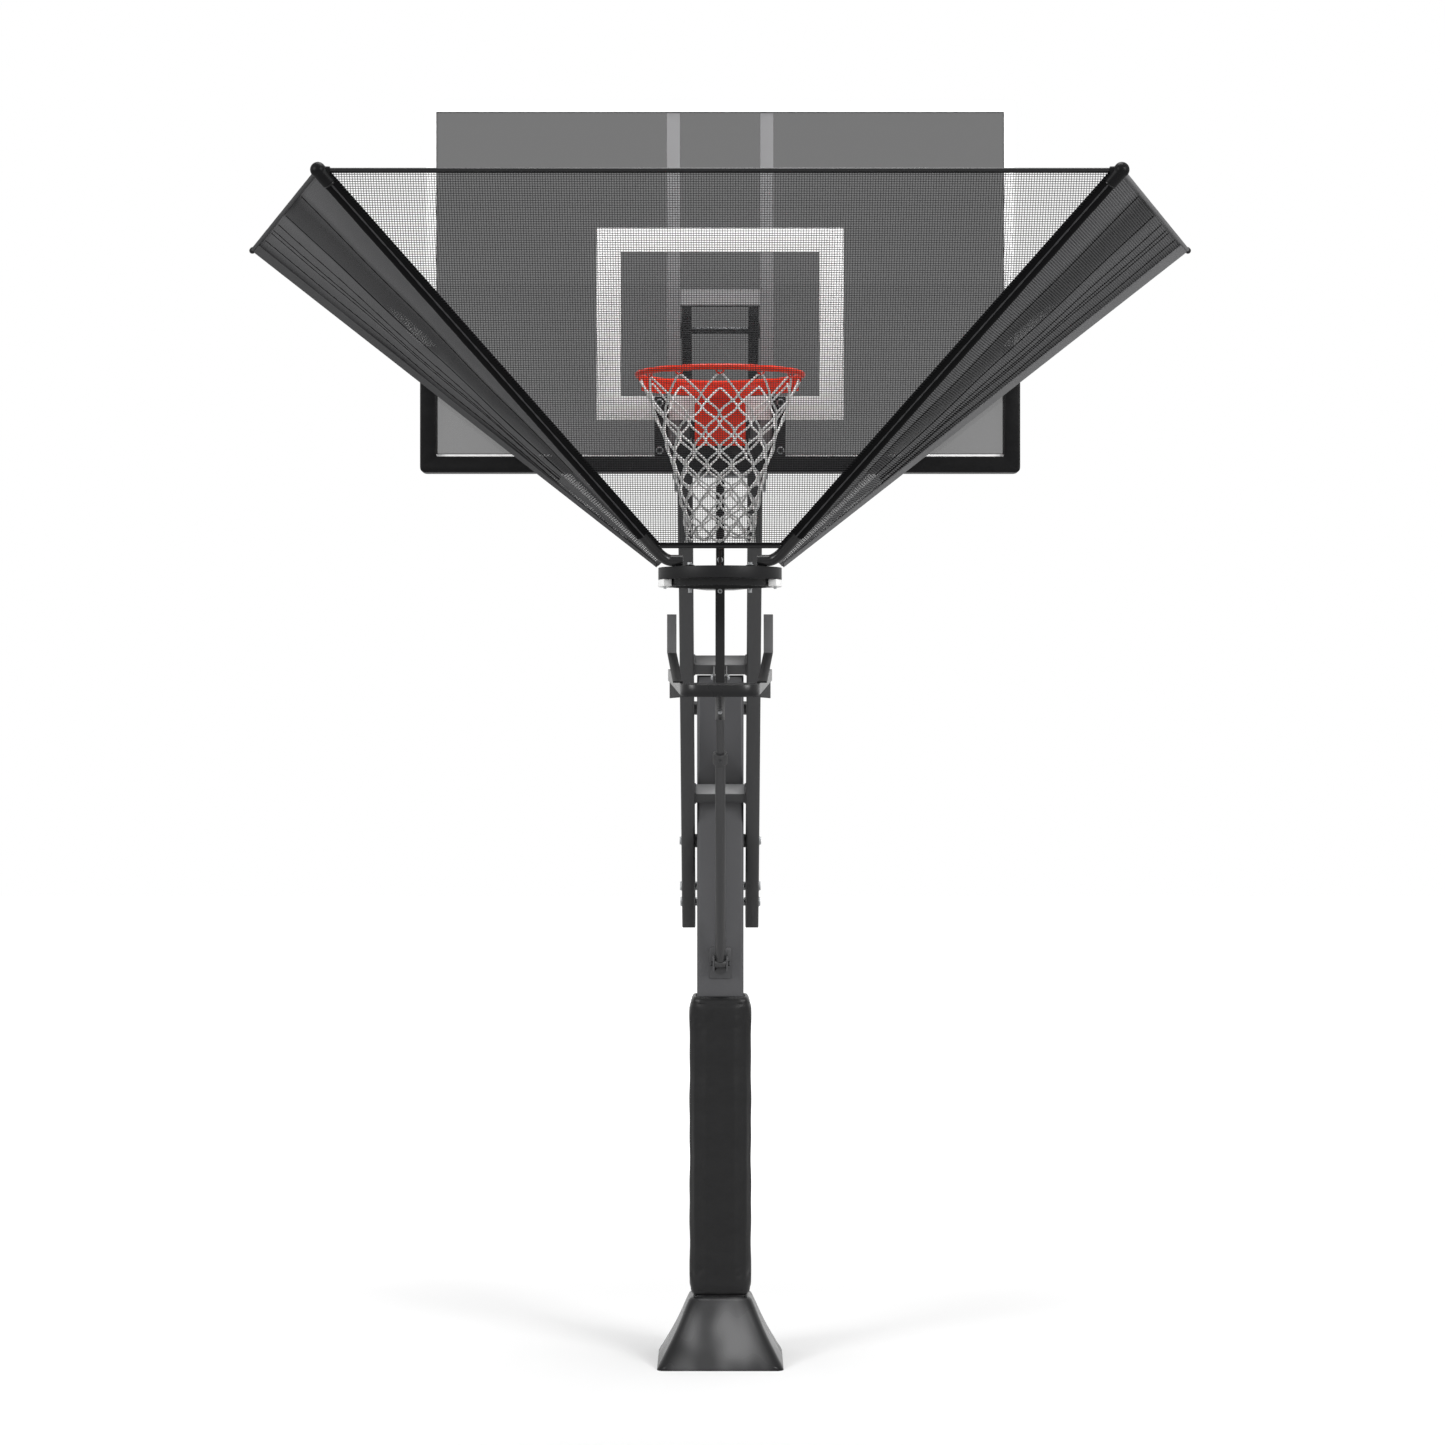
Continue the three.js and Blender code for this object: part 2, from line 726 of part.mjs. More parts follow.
// Strut from the pole to the upper crossbar
function strutHead() {
  const across = new THREE.Vector3(0, -strutHeadDrop, upperCrossbarAlong);
  across.applyAxisAngle(new THREE.Vector3(1, 0, 0), armTilt);
  return across.add(new THREE.Vector3(0, pivotBehindAxis, lowerPivotHeight));
}

function addStrut() {
  const head = strutHead();
  const run = strutFootY - head.y;
  const rise = head.z - strutFootHeight;
  const length = Math.hypot(run, rise);
  const strut = new THREE.Group();
  strut.position.set(0, strutFootY, strutFootHeight);
  strut.rotation.x = Math.atan2(run, rise);
  goal.add(strut);

  const tubeLength = length - strutTubeShort;
  const tube = roundTube(strutTubeRadius, strutTubeWall, tubeLength - strutFootStart);
  const foot = rodAlongX(strutTubeRadius, -strutFootWidth / 2, strutFootWidth / 2, 0, 0);
  const footBore = rodAlongX(strutPinRadius + boltFit, -strutFootWidth, strutFootWidth, 0, 0);
  node(strut, "strut_tube", cut(join(tube.translate(0, 0, strutFootStart), foot), footBore), darkSteel);

  const collar = roundTube(collarRadius, collarRadius - strutTubeRadius - seat, collarHeight);
  node(strut, "strut_collar", collar.translate(0, 0, tubeLength - collarHeight), blackPaint);

  const rod = rodAlongZ(strutRodRadius, strutRodStart, length - strutEyeBore - weld, 0, 0);
  const eye = rodAlongX(strutEyeRadius, -strutEyeWidth / 2, strutEyeWidth / 2, 0, length, 20);
  const eyeBore = rodAlongX(strutEyeBore, -strutEyeWidth, strutEyeWidth, 0, length, 20);
  node(strut, "strut_rod", cut(join(rod, eye), eyeBore), darkSteel);

  const face = -poleSide / 2 - seat;
  const halfHeight = bracketPlateHeight / 2;
  const back = block(-bracketPlateWidth / 2, bracketPlateWidth / 2, face - bracketPlateThickness, face,
    strutFootHeight - halfHeight, strutFootHeight + halfHeight);
  const earInner = strutFootWidth / 2 + lugGap;
  const ear = block(earInner, earInner + lugThickness, strutFootY - lugMargin,
    face - bracketPlateThickness + weld, strutFootHeight - halfHeight / 2, strutFootHeight + halfHeight / 2);
  const bore = rodAlongX(strutPinRadius + boltFit, -bracketPlateWidth, bracketPlateWidth, strutFootY,
    strutFootHeight);
  node(goal, "strut_bracket", cut(join(back, ear, mirrored(ear)), bore), darkSteel);
  const pin = boltAcross(earInner + lugThickness + seat, strutPinRadius, strutPinHeadRadius,
    strutPinHeadHeight, 0, strutFootY, strutFootHeight);
  node(goal, "strut_lower_pin", pin, zinc);
}

// Board: glass, frame, target, edge pad
function frameRing(outerWidth, outerHeight, border, z0, Kind = THREE.Shape) {
  const outline = new Kind();
  const half = outerWidth / 2 - border;
  outline.moveTo(-half, z0 + border);
  outline.lineTo(half, z0 + border);
  outline.lineTo(half, z0 + outerHeight - border);
  outline.lineTo(-half, z0 + outerHeight - border);
  outline.closePath();
  return outline;
}

function openFrame(width, height, border, bottom, y0, y1) {
  const outline = frameRing(width, height, 0, bottom);
  outline.holes.push(frameRing(width, height, border, bottom, THREE.Path));
  return plateAcrossY(outline, y0, y1);
}

function rimBoltPlaces() {
  const low = rimBracketBottom + rimBoltInset;
  const high = mountPlateTop - rimBoltInset;
  return [-1, 1].flatMap((side) => [low, high].map((z) => [side * rimBoltAcross, z]));
}

function addBoard() {
  const inset = frameWall + mountPlateGap;
  const half = boardWidth / 2 - inset;
  const sheet = block(-half, half, glassFront, glassBack, boardBottom + inset, boardTop - inset);
  const holes = rimBoltPlaces().map(([x, z]) =>
    rodAlongY(rimBoltRadius + boltFit, glassFront - overrun, glassBack + overrun, x, z));
  node(goal, "backboard_glass", cut(sheet, ...holes), clearGlass);

  const lip = openFrame(boardWidth, boardHeight, frameBorder, boardBottom, frameFront, glassFront - seat);
  const wall = openFrame(boardWidth, boardHeight, frameWall, boardBottom, glassFront - seat - weld,
    frameBack);
  node(goal, "backboard_frame", join(lip, wall), whitePaint);

  const target = openFrame(targetWidth, targetHeight, targetLine, targetBottom,
    glassFront - seat - targetThickness, glassFront - seat);
  node(goal, "target_square", cut(target, ...holes), whitePaint);

  const outer = boardWidth / 2 + edgePadOver;
  const bottom = boardBottom - edgePadOver - frameWall;
  const inner = outer - edgePadWidth;
  const outline = new THREE.Shape();
  outline.moveTo(-outer, edgePadTop);
  outline.absarc(-outer + edgePadCorner, bottom + edgePadCorner, edgePadCorner, Math.PI, Math.PI * 1.5);
  outline.absarc(outer - edgePadCorner, bottom + edgePadCorner, edgePadCorner, Math.PI * 1.5, Math.PI * 2);
  outline.lineTo(outer, edgePadTop);
  outline.lineTo(inner, edgePadTop);
  outline.lineTo(inner, bottom + edgePadWidth);
  outline.lineTo(-inner, bottom + edgePadWidth);
  outline.lineTo(-inner, edgePadTop);
  outline.closePath();
  const middle = (frameFront + frameBack) / 2;
  const pad = plateAcrossY(outline, middle - edgePadDepth / 2, middle + edgePadDepth / 2);
  const frameHalf = boardWidth / 2 + boltFit;
  const slot = block(-frameHalf, frameHalf, frameFront - boltFit, frameBack + boltFit,
    boardBottom - boltFit, boardTop);
  const notch = block(-edgePadNotch / 2, edgePadNotch / 2, frameBack, middle + edgePadDepth,
    bottom - overrun, bottom + edgePadWidth + overrun);
  node(goal, "backboard_pad", cut(pad, slot, notch), blackVinyl);
}

// Welded subframe behind the glass
function addSubframe() {
  const postOuter = postInner + postWidth;
  const post = squareTube(postWidth, postDepth, postWall, postWall / 2 + weld, boardHeight);
  post.translate((postInner + postOuter) / 2, (postFront + postBack) / 2, boardBottom);
  const crossFlat = block(-postInner - weld, postInner + weld, postFront, postFront + crossFlatThickness,
    crossFlatBottom, crossFlatBottom + crossFlatHeight);
  const mountPlate = block(-mountPlateWidth / 2, mountPlateWidth / 2, glassBack + mountPlateGap,
    postFront + weld, mountPlateBottom, mountPlateTop);
  const crosspiece = block(-postInner - weld, postInner + weld, postFront, postFront + crosspieceDepth,
    crosspieceBottom, crosspieceBottom + crosspieceHeight);
  const upperPivot = frontPivotHeight + pivotSpacing;
  const plate = block(pivotPlateInner, pivotPlateInner + pivotPlateThickness, postBack - weld,
    -frontPivotReach + pivotPlateBehind, frontPivotHeight - pivotPlateMargin, upperPivot + pivotPlateMargin);
  const lowerBoss = rodAlongX(bossRadius, lowerArmOuter + seat, pivotPlateInner + weld,
    -frontPivotReach, frontPivotHeight);
  const upperBoss = rodAlongX(bossRadius, upperArmOuter + seat, pivotPlateInner + weld,
    -frontPivotReach, upperPivot);
  const side = [post, plate, lowerBoss, upperBoss];
  const body = join(crossFlat, mountPlate, crosspiece, ...side, ...side.map(mirrored));
  const pivotBores = [frontPivotHeight, upperPivot].map((z) =>
    rodAlongX(pivotBoltRadius + boltFit, -postOuter, postOuter, -frontPivotReach, z));
  const boltBores = rimBoltPlaces().map(([x, z]) =>
    rodAlongY(rimBoltRadius + boltFit, glassBack, postBack, x, z));
  node(goal, "board_subframe", cut(body, ...pivotBores, ...boltBores), paleSteel);

  const reach = pivotPlateInner + pivotPlateThickness + seat;
  [["lower", frontPivotHeight], ["upper", upperPivot]].forEach(([name, z]) => {
    const bolt = boltAcross(reach, pivotBoltRadius, pivotHeadRadius, pivotHeadHeight, 0,
      -frontPivotReach, z);
    node(goal, `front_pivot_bolt_${name}`, bolt, zinc);
  });
}

// Rim bracket with its bolts, and the hinge that lets the rim dip
function addRimBracket() {
  const half = rimBracketWidth / 2;
  const notch = half - rimBracketLeg;
  const outline = new THREE.Shape();
  outline.moveTo(-half, rimBracketBottom);
  outline.lineTo(half, rimBracketBottom);
  outline.lineTo(half, mountPlateTop);
  outline.lineTo(notch, mountPlateTop);
  outline.lineTo(notch, sideNotchBottom);
  outline.lineTo(sideNotchInner, sideNotchBottom);
  outline.lineTo(sideNotchInner, rimNotchBottom);
  outline.lineTo(-sideNotchInner, rimNotchBottom);
  outline.lineTo(-sideNotchInner, sideNotchBottom);
  outline.lineTo(-notch, sideNotchBottom);
  outline.lineTo(-notch, mountPlateTop);
  outline.lineTo(-half, mountPlateTop);
  outline.closePath();
  const back = rimBracketFront + rimBracketThickness;
  const plate = plateAcrossY(outline, rimBracketFront, back);
  const lugInner = housingWidth / 2 + hingeLugGap;
  const lug = block(lugInner, lugInner + lugThickness, -rimHingeReach - hingeLugSize / 2,
    rimBracketFront + weld, rimHingeHeight - hingeLugSize / 2, rimHingeHeight + hingeLugSize / 2);
  const bores = rimBoltPlaces().map(([x, z]) =>
    rodAlongY(rimBoltRadius + boltFit, rimBracketFront - overrun, back + overrun, x, z));
  const pinBore = rodAlongX(hingePinRadius + boltFit, -half, half, -rimHingeReach, rimHingeHeight);
  node(goal, "rim_bracket", cut(join(plate, lug, mirrored(lug)), ...bores, pinBore), blackPaint);

  const headBack = rimBracketFront - seat;
  const strapFront = postFront + weld + seat;
  const boltPair = () => {
    const bolts = rimBoltPlaces().filter(([x]) => x > 0).flatMap(([x, z]) => [
      rodAlongY(rimBoltRadius, headBack - weld, strapFront + rimBoltStrapThickness + rimBoltHeadHeight,
        x, z, 12),
      rodAlongY(rimBoltHeadRadius, headBack - rimBoltHeadHeight, headBack, x, z, 6),
    ]);
    const strap = block(rimBoltAcross - rimBoltStrap / 2, rimBoltAcross + rimBoltStrap / 2, strapFront,
      strapFront + rimBoltStrapThickness, rimBracketBottom + rimBoltInset / 2,
      mountPlateTop - rimBoltInset / 2);
    return join(strap, ...bolts);
  };
  pair(goal, "rim_bracket_bolts", boltPair, zinc);

  const pinReach = lugInner + lugThickness + seat;
  const pin = boltAcross(pinReach, hingePinRadius, strutPinHeadRadius, strutPinHeadHeight, 0,
    -rimHingeReach, rimHingeHeight);
  node(goal, "rim_hinge_pin", pin, zinc);
}

// A coil spring along Y: its ends run straight for one wire width.
function springPath(y0, y1) {
  const wire = 2 * springWire;
  const run = y1 - y0 - 2 * wire;
  const steps = springCurls * 8;
  const points = [new THREE.Vector3(springRadius, y0, springHeight)];
  for (let i = 0; i <= steps; i += 1) {
    const angle = (i / 8) * Math.PI * 2;
    points.push(new THREE.Vector3(
      springRadius * Math.cos(angle), y0 + wire + (run * i) / steps,
      springHeight + springRadius * Math.sin(angle)));
  }
  points.push(new THREE.Vector3(springRadius, y1, springHeight));
  console.log(`rim_spring: least gap between curls ${(run / springCurls - wire).toFixed(2)} mm`);
  return points;
}

// A closed round wire through a list of points.
function wireThrough(points, radius, sides) {
  const rings = points.map((point, i) => {
    const before = points[Math.max(i - 1, 0)];
    const after = points[Math.min(i + 1, points.length - 1)];
    const along = after.clone().sub(before).normalize();
    const out = point.clone().setY(0).sub(new THREE.Vector3(0, 0, springHeight)).normalize();
    const across = along.clone().cross(out).normalize();
    const level = across.clone().cross(along);
    return Array.from({ length: sides }, (unused, k) => {
      const angle = (k / sides) * Math.PI * 2;
      return point.clone().addScaledVector(level, radius * Math.cos(angle))
        .addScaledVector(across, radius * Math.sin(angle));
    });
  });
  const positions = rings.flat().flatMap((p) => [p.x, p.y, p.z]);
  const index = [];
  for (let level = 0; level + 1 < rings.length; level += 1)
    for (let i = 0; i < sides; i += 1) {
      const [a, b] = [level * sides + i, level * sides + ((i + 1) % sides)];
      index.push(a, b, b + sides, a, b + sides, a + sides);
    }
  const last = (rings.length - 1) * sides;
  for (let i = 1; i + 1 < sides; i += 1) {
    index.push(0, i + 1, i);
    index.push(last, last + i, last + i + 1);
  }
  const wire = new THREE.BufferGeometry();
  wire.setAttribute("position", new THREE.Float32BufferAttribute(positions, 3));
  wire.setIndex(index);
  return wire.toNonIndexed();
}

// Hoop with its rear brace and hooks, housing with its neck, spring
function addRim() {
  const hoop = new THREE.TorusGeometry(hoopRadius, hoopTube, 8, 40);
  hoop.translate(0, rimCentre, rimHeight);
  const outer = hoopRadius + braceThickness / 2;
  const inner = outer - braceThickness;
  const start = Math.PI / 2 - braceHalfAngle;
  const end = Math.PI / 2 + braceHalfAngle;
  const sector = new THREE.Shape();
  sector.absarc(0, 0, outer, start, end);
  sector.absarc(0, 0, inner, end, start, true);
  sector.closePath();
  const braceTop = rimHeight - hoopTube + weld;
  const brace = plateAcrossZ(sector, rimHeight - braceDrop, braceTop, 14).translate(0, rimCentre, 0);
  const hooks = Array.from({ length: hookCount }, (unused, k) => {
    const angle = (k / hookCount) * Math.PI * 2;
    const radius = hoopRadius - hookInset;
    return rodAlongZ(hookRadius, rimHeight - hookDrop, rimHeight, radius * Math.cos(angle),
      rimCentre + radius * Math.sin(angle), 4);
  });
  node(goal, "rim_hoop", join(hoop, brace, ...hooks), rimPaint);

  const half = housingWidth / 2;
  const top = mountPlateTop;
  const shell = cut(
    block(-half, half, -housingFrontReach, -housingBackReach, housingBottom, top),
    block(housingWall - half, half - housingWall, housingWall - housingFrontReach, overrun - housingBackReach,
      housingBottom - overrun, top - housingWall),
  );
  const neck = cut(
    block(-neckWidth / 2, neckWidth / 2, rimCentre + hoopRadius - neckRunIn, -housingBackReach,
      top - weld, top + neckThickness),
    rodAlongZ(outer + seat, top - overrun, top + neckThickness + overrun, 0, rimCentre, 96),
  );
  const pinBore = rodAlongX(hingePinRadius + boltFit, -housingWidth, housingWidth, -rimHingeReach,
    rimHingeHeight);
  node(goal, "rim_housing", cut(join(shell, neck), pinBore), rimPaint);

  const springStart = housingWall - housingFrontReach + seat;
  const springEnd = rimBracketFront - seat;
  node(goal, "rim_spring", wireThrough(springPath(springStart, springEnd), springWire, 5), zinc);
}

// Hoop net: a tapering sleeve of diamond gaps
function addHoopNet() {
  const top = rimHeight - hookDrop - seat;
  const knot = (row, column, side) => {
    const share = row / netRows;
    const centre = netBottomRadius + (netTopRadius - netBottomRadius) * (1 - share) ** netTaperShare;
    const radius = centre + (side * netThickness) / 2;
    const angle = ((column + (row % 2) / 2) / hookCount) * Math.PI * 2;
    return new THREE.Vector3(radius * Math.cos(angle), rimCentre + radius * Math.sin(angle),
      top - netDrop * share);
  };
  const faces = [];
  const quad = (a, b, c, d) => faces.push(a, b, c, a, c, d);
  for (let row = 0; row + 2 <= netRows; row += 1)
    for (let column = 0; column < hookCount; column += 1) {
      const left = column - 1 + (row % 2);
      const around = [[row, column], [row + 1, left], [row + 2, column], [row + 1, left + 1]];
      const cell = (side) => around.map(([r, c]) => knot(r, c, side));
      const shrink = (corners) => {
        const middle = corners.reduce((sum, p) => sum.add(p), new THREE.Vector3()).divideScalar(4);
        return corners.map((p) => p.clone().lerp(middle, netStrandShare));
      };
      const [outside, inside] = [cell(1), cell(-1)];
      const [gapOut, gapIn] = [shrink(outside), shrink(inside)];
      for (let i = 0; i < 4; i += 1) {
        const j = (i + 1) % 4;
        quad(outside[i], outside[j], gapOut[j], gapOut[i]);
        quad(inside[j], inside[i], gapIn[i], gapIn[j]);
        quad(gapOut[i], gapOut[j], gapIn[j], gapIn[i]);
      }
      if (row === 0) {
        quad(outside[1], outside[0], inside[0], inside[1]);
        quad(outside[0], outside[3], inside[3], inside[0]);
      }
      if (row + 2 === netRows) {
        quad(outside[2], outside[1], inside[1], inside[2]);
        quad(outside[3], outside[2], inside[2], inside[3]);
      }
    }
  const net = new THREE.BufferGeometry().setFromPoints(faces);
  net.computeVertexNormals();
  node(goal, "hoop_net", net, whiteNet);
}

// Mast, ring and shoes
function addMastAndRing() {
  const mastFront = postFront + crosspieceDepth + seat;
  const mastBack = mastFront + mastDepth;
  const plateTop = ringBottom - seat;
  const plateBottom = plateTop - ringPlateThickness;
  const mast = squareTube(mastWidth, mastDepth, armWall, armWall + weld, mastTop - plateBottom);
  mast.translate(0, (mastFront + mastBack) / 2, plateBottom);
  const outline = new THREE.Shape();
  outline.moveTo(-ringPlateHalf, -ringPlateFront);
  outline.lineTo(ringPlateHalf, -ringPlateFront);
  outline.lineTo(ringPlateHalf, rimCentre + ringRadius);
  outline.lineTo(ringPlateTail, mastBack);
  outline.lineTo(-ringPlateTail, mastBack);
  outline.lineTo(-ringPlateHalf, rimCentre + ringRadius);
  outline.closePath();
  const plate = cut(
    plateAcrossZ(outline, plateBottom, plateTop),
    rodAlongZ(ringPlateRoom, plateBottom - overrun, plateTop + overrun, 0, rimCentre, 64),
    block(-mastWidth / 2 + armWall, mastWidth / 2 - armWall, mastFront + armWall, mastBack - armWall,
      plateBottom - overrun, plateTop + overrun),
  );
  const gusset = plateAcrossX(
    [
      [mastFront + weld, plateTop - weld],
      [mastFront + weld, plateTop + gussetRise],
      [mastFront - gussetRise, plateTop - weld],
    ],
    -mastGussetThickness / 2,
    mastGussetThickness / 2,
  );
  const clamps = [-clampAcross, clampAcross].flatMap((x) => {
    const nearest = clampAcross - clampWidth / 2;
    const front = rimCentre + Math.sqrt((ringRadius + seat) ** 2 - nearest ** 2) + seat;
    const middle = front + clampThickness / 2;
    return [
      block(x - clampWidth / 2, x + clampWidth / 2, front, front + clampThickness, plateTop - weld, clampTop),
      rodAlongZ(clampBoltRadius, clampTop - weld, clampTop + clampBoltHeight, x, middle, 6),
    ];
  });
  const whole = join(mast, plate, gusset, ...clamps);
  node(goal, "return_mast", whole, darkSteel);

  const ring = turnedRing(
    [
      [flangeInner, ringBottom],
      [ringRadius, ringBottom],
      [ringRadius, ringTop],
      [ringRadius - ringWall, ringTop],
      [ringRadius - ringWall, ringBottom + flangeThickness],
      [flangeInner, ringBottom + flangeThickness],
    ],
    40,
  );
  node(goal, "return_ring", ring.translate(0, rimCentre, 0), darkSteel);

  pair(goal, "guide_shoe", () => {
    const sector = new THREE.Shape();
    sector.absarc(0, 0, shoeOuter, -shoeHalfAngle, shoeHalfAngle);
    sector.absarc(0, 0, shoeInner, shoeHalfAngle, -shoeHalfAngle, true);
    sector.closePath();
    return plateAcrossZ(sector, shoeBottom, ringBottom - seat, 6).translate(0, rimCentre, 0);
  }, whiteNylon);
}

// Chute: swivel ring, hanger, ramp, edge band and ball guides
function sloped(geometry, slope) {
  const rise = new THREE.Matrix4();
  rise.elements[6] = slope; // Z grows with Y
  return geometry.translate(0, chuteFrontReach, 0).applyMatrix4(rise).translate(0, -chuteFrontReach, 0);
}

function chuteOutline(inset) {
  const front = inset - chuteFrontReach;
  const frontHalf = chuteFrontHalf - inset;
  const backHalf = chuteBackHalf - inset;
  const corner = bandCorner - inset;
  return { front, frontHalf, backHalf, corner };
}

// The chute's edge line, from its back left end round its front to its back right end.
function troughLine({ front, frontHalf, backHalf, corner }) {
  const points = [
    [-backHalf, chuteBack],
    [-frontHalf, front + corner],
    [corner - frontHalf, front],
    [frontHalf - corner, front],
    [frontHalf, front + corner],
    [backHalf, chuteBack],
  ];
  const bend = (from, control, to) =>
    new THREE.QuadraticBezierCurve(
      new THREE.Vector2(...from), new THREE.Vector2(...control), new THREE.Vector2(...to)).getPoints(5);
  return [
    new THREE.Vector2(...points[0]),
    ...bend(points[1], [-frontHalf, front], points[2]),
    ...bend(points[3], [frontHalf, front], points[4]),
    new THREE.Vector2(...points[5]),
  ];
}

function addChute() {
  const outerWall = swivelInner + swivelWall;
  const collarBottom = ringBottom;
  const swivel = turnedRing(
    [
      [swivelInner, swivelBottom],
      [outerWall, swivelBottom],
      [outerWall, collarBottom],
      [swivelCollar, collarBottom],
      [swivelCollar, collarBottom + flangeThickness],
      [outerWall, collarBottom + flangeThickness],
      [outerWall, swivelTop],
      [swivelInner, swivelTop],
    ],
    32,
  );
  node(goal, "swivel_ring", swivel.translate(0, rimCentre, 0), darkSteel);

  const hangerTop = swivelBottom - seat;
  const hangerBack = hangerFront + hangerDepth;
  const half = hangerWidth / 2;
  const tip = hangerFront - braceReach;
  const underRamp = (y) => chuteFrontTop - rampThickness - seat + floorSlope * (y + chuteFrontReach);
  const armBottom = (y) => underRamp(y) - braceBar;
  const diagonalSlope = (armBottom(tip) - hangerBottom) / braceReach;
  const webBottom = hangerBottom + braceBar * Math.hypot(1, diagonalSlope);
  const webReach = (armBottom(hangerFront) - webBottom) / (floorSlope + diagonalSlope);
  const profile = [
    [hangerBack, hangerTop],
    [hangerFront - hangerFoot, hangerTop],
    [hangerFront - hangerFoot, hangerTop - hangerFootHeight],
    [hangerFront, hangerTop - hangerFootHeight],
    [hangerFront, underRamp(hangerFront)],
    [tip, underRamp(tip)],
    [tip, armBottom(tip)],
    [hangerFront, hangerBottom],
    [hangerBack, hangerBottom],
  ];
  const web = [
    [hangerFront, armBottom(hangerFront)],
    [hangerFront - webReach, armBottom(hangerFront - webReach)],
    [hangerFront, webBottom],
  ];
  const hanger = plateAcrossX(profile, -half, half, web);
  node(goal, "chute_hanger", hanger, darkSteel);

  const wallLine = (inset, thickness) => new THREE.Shape(
    [...troughLine(chuteOutline(inset)), ...troughLine(chuteOutline(inset + thickness)).reverse()]);
  const rampLine = troughLine(chuteOutline(bandWall + seat));
  const floor = plateAcrossZ(new THREE.Shape(rampLine), chuteFrontTop - rampThickness, chuteFrontTop);
  const skirt = plateAcrossZ(wallLine(bandWall + seat, skirtWall), chuteFrontTop - bandHeight,
    chuteBackTop + overrun);
  const above = block(-chuteBackHalf, chuteBackHalf, -chuteFrontReach, chuteBack + overrun, chuteFrontTop,
    chuteBackTop + overrun);
  const ramp = join(sloped(floor, floorSlope), cut(skirt, sloped(above, sideSlope)));
  node(goal, "chute_ramp", ramp, darkSteel);

  const band = plateAcrossZ(wallLine(0, bandWall), chuteFrontTop - bandHeight, chuteFrontTop);
  node(goal, "chute_band", sloped(band, sideSlope), darkSteel);

  pair(goal, "ball_guide", () => {
    const seatAt = (y) => chuteFrontTop + sideSlope * (y + chuteFrontReach) + seat;
    const footFront = -guideEndReach - guideFoot;
    const footBack = -guideEndReach + guideFoot;
    const strap = plateAcrossX(
      [
        [-guideReach, guideTop],
        [-guideReach - guideThickness, guideTop],
        [-guideReach - guideThickness, guideBend + guideThickness / 2],
        [-guideEndReach, seatAt(-guideEndReach) + guideThickness],
        [footFront, seatAt(footFront) + guideThickness],
        [footFront, seatAt(footFront)],
        [footBack, seatAt(footBack)],
        [-guideReach, guideBend],
      ],
      guideInner,
      guideInner + guideWidth,
    );
    const lean = new THREE.Matrix4();
    lean.elements[4] = guideEndShift / (guideEndReach - guideReach); // X grows with Y
    return strap.translate(0, guideReach, 0).applyMatrix4(lean).translate(0, -guideReach, 0);
  }, darkSteel);
}

// Places of the net frame on one side
function framePlaces(side) {
  const tip = new THREE.Vector3(side * tipAcross, -tipReach, tipHeight);
  const foot = new THREE.Vector3(side * tubeFootAcross, -tubeFootReach, tubeFootHeight);
  const corner = new THREE.Vector3(side * wingCornerAcross, -wingCornerReach, wingCornerHeight);
  const wingFoot = new THREE.Vector3(side * wingFootAcross, rimCentre, wingFootHeight);
  const otherTip = new THREE.Vector3(-side * tipAcross, -tipReach, tipHeight);
  const down = foot.clone().sub(tip);
  const tubeEnd = foot.clone().addScaledVector(down, -elbowLength / down.length());
  const share = (bottomBarHeight - tipHeight) / down.z;
  const barEnd = tip.clone().addScaledVector(down, share);
  return { tip, foot, corner, wingFoot, otherTip, tubeEnd, barEnd };
}

function stepFrom(from, to, distance) {
  const along = to.clone().sub(from).normalize();
  return from.clone().addScaledVector(along, distance);
}

// The corner fitting's outer form, made larger by a margin to cut its neighbours.
function fittingForm(places, margin) {
  const ball = new THREE.SphereGeometry(fittingRadius + margin, 8, 5).translate(...places.tip);
  const sleeves = [
    [places.otherTip, barSleeveRadius, barSleeveLength, 8],
    [places.foot, tubeSleeveRadius, tubeSleeveLength, 16],
    [places.corner, barSleeveRadius, barSleeveLength, 8],
  ].map(([end, radius, length, sides]) =>
    layGeometry(rodAlongZ(radius + margin, 0, length + margin, 0, 0, sides), places.tip, end));
  return join(ball, ...sleeves);
}

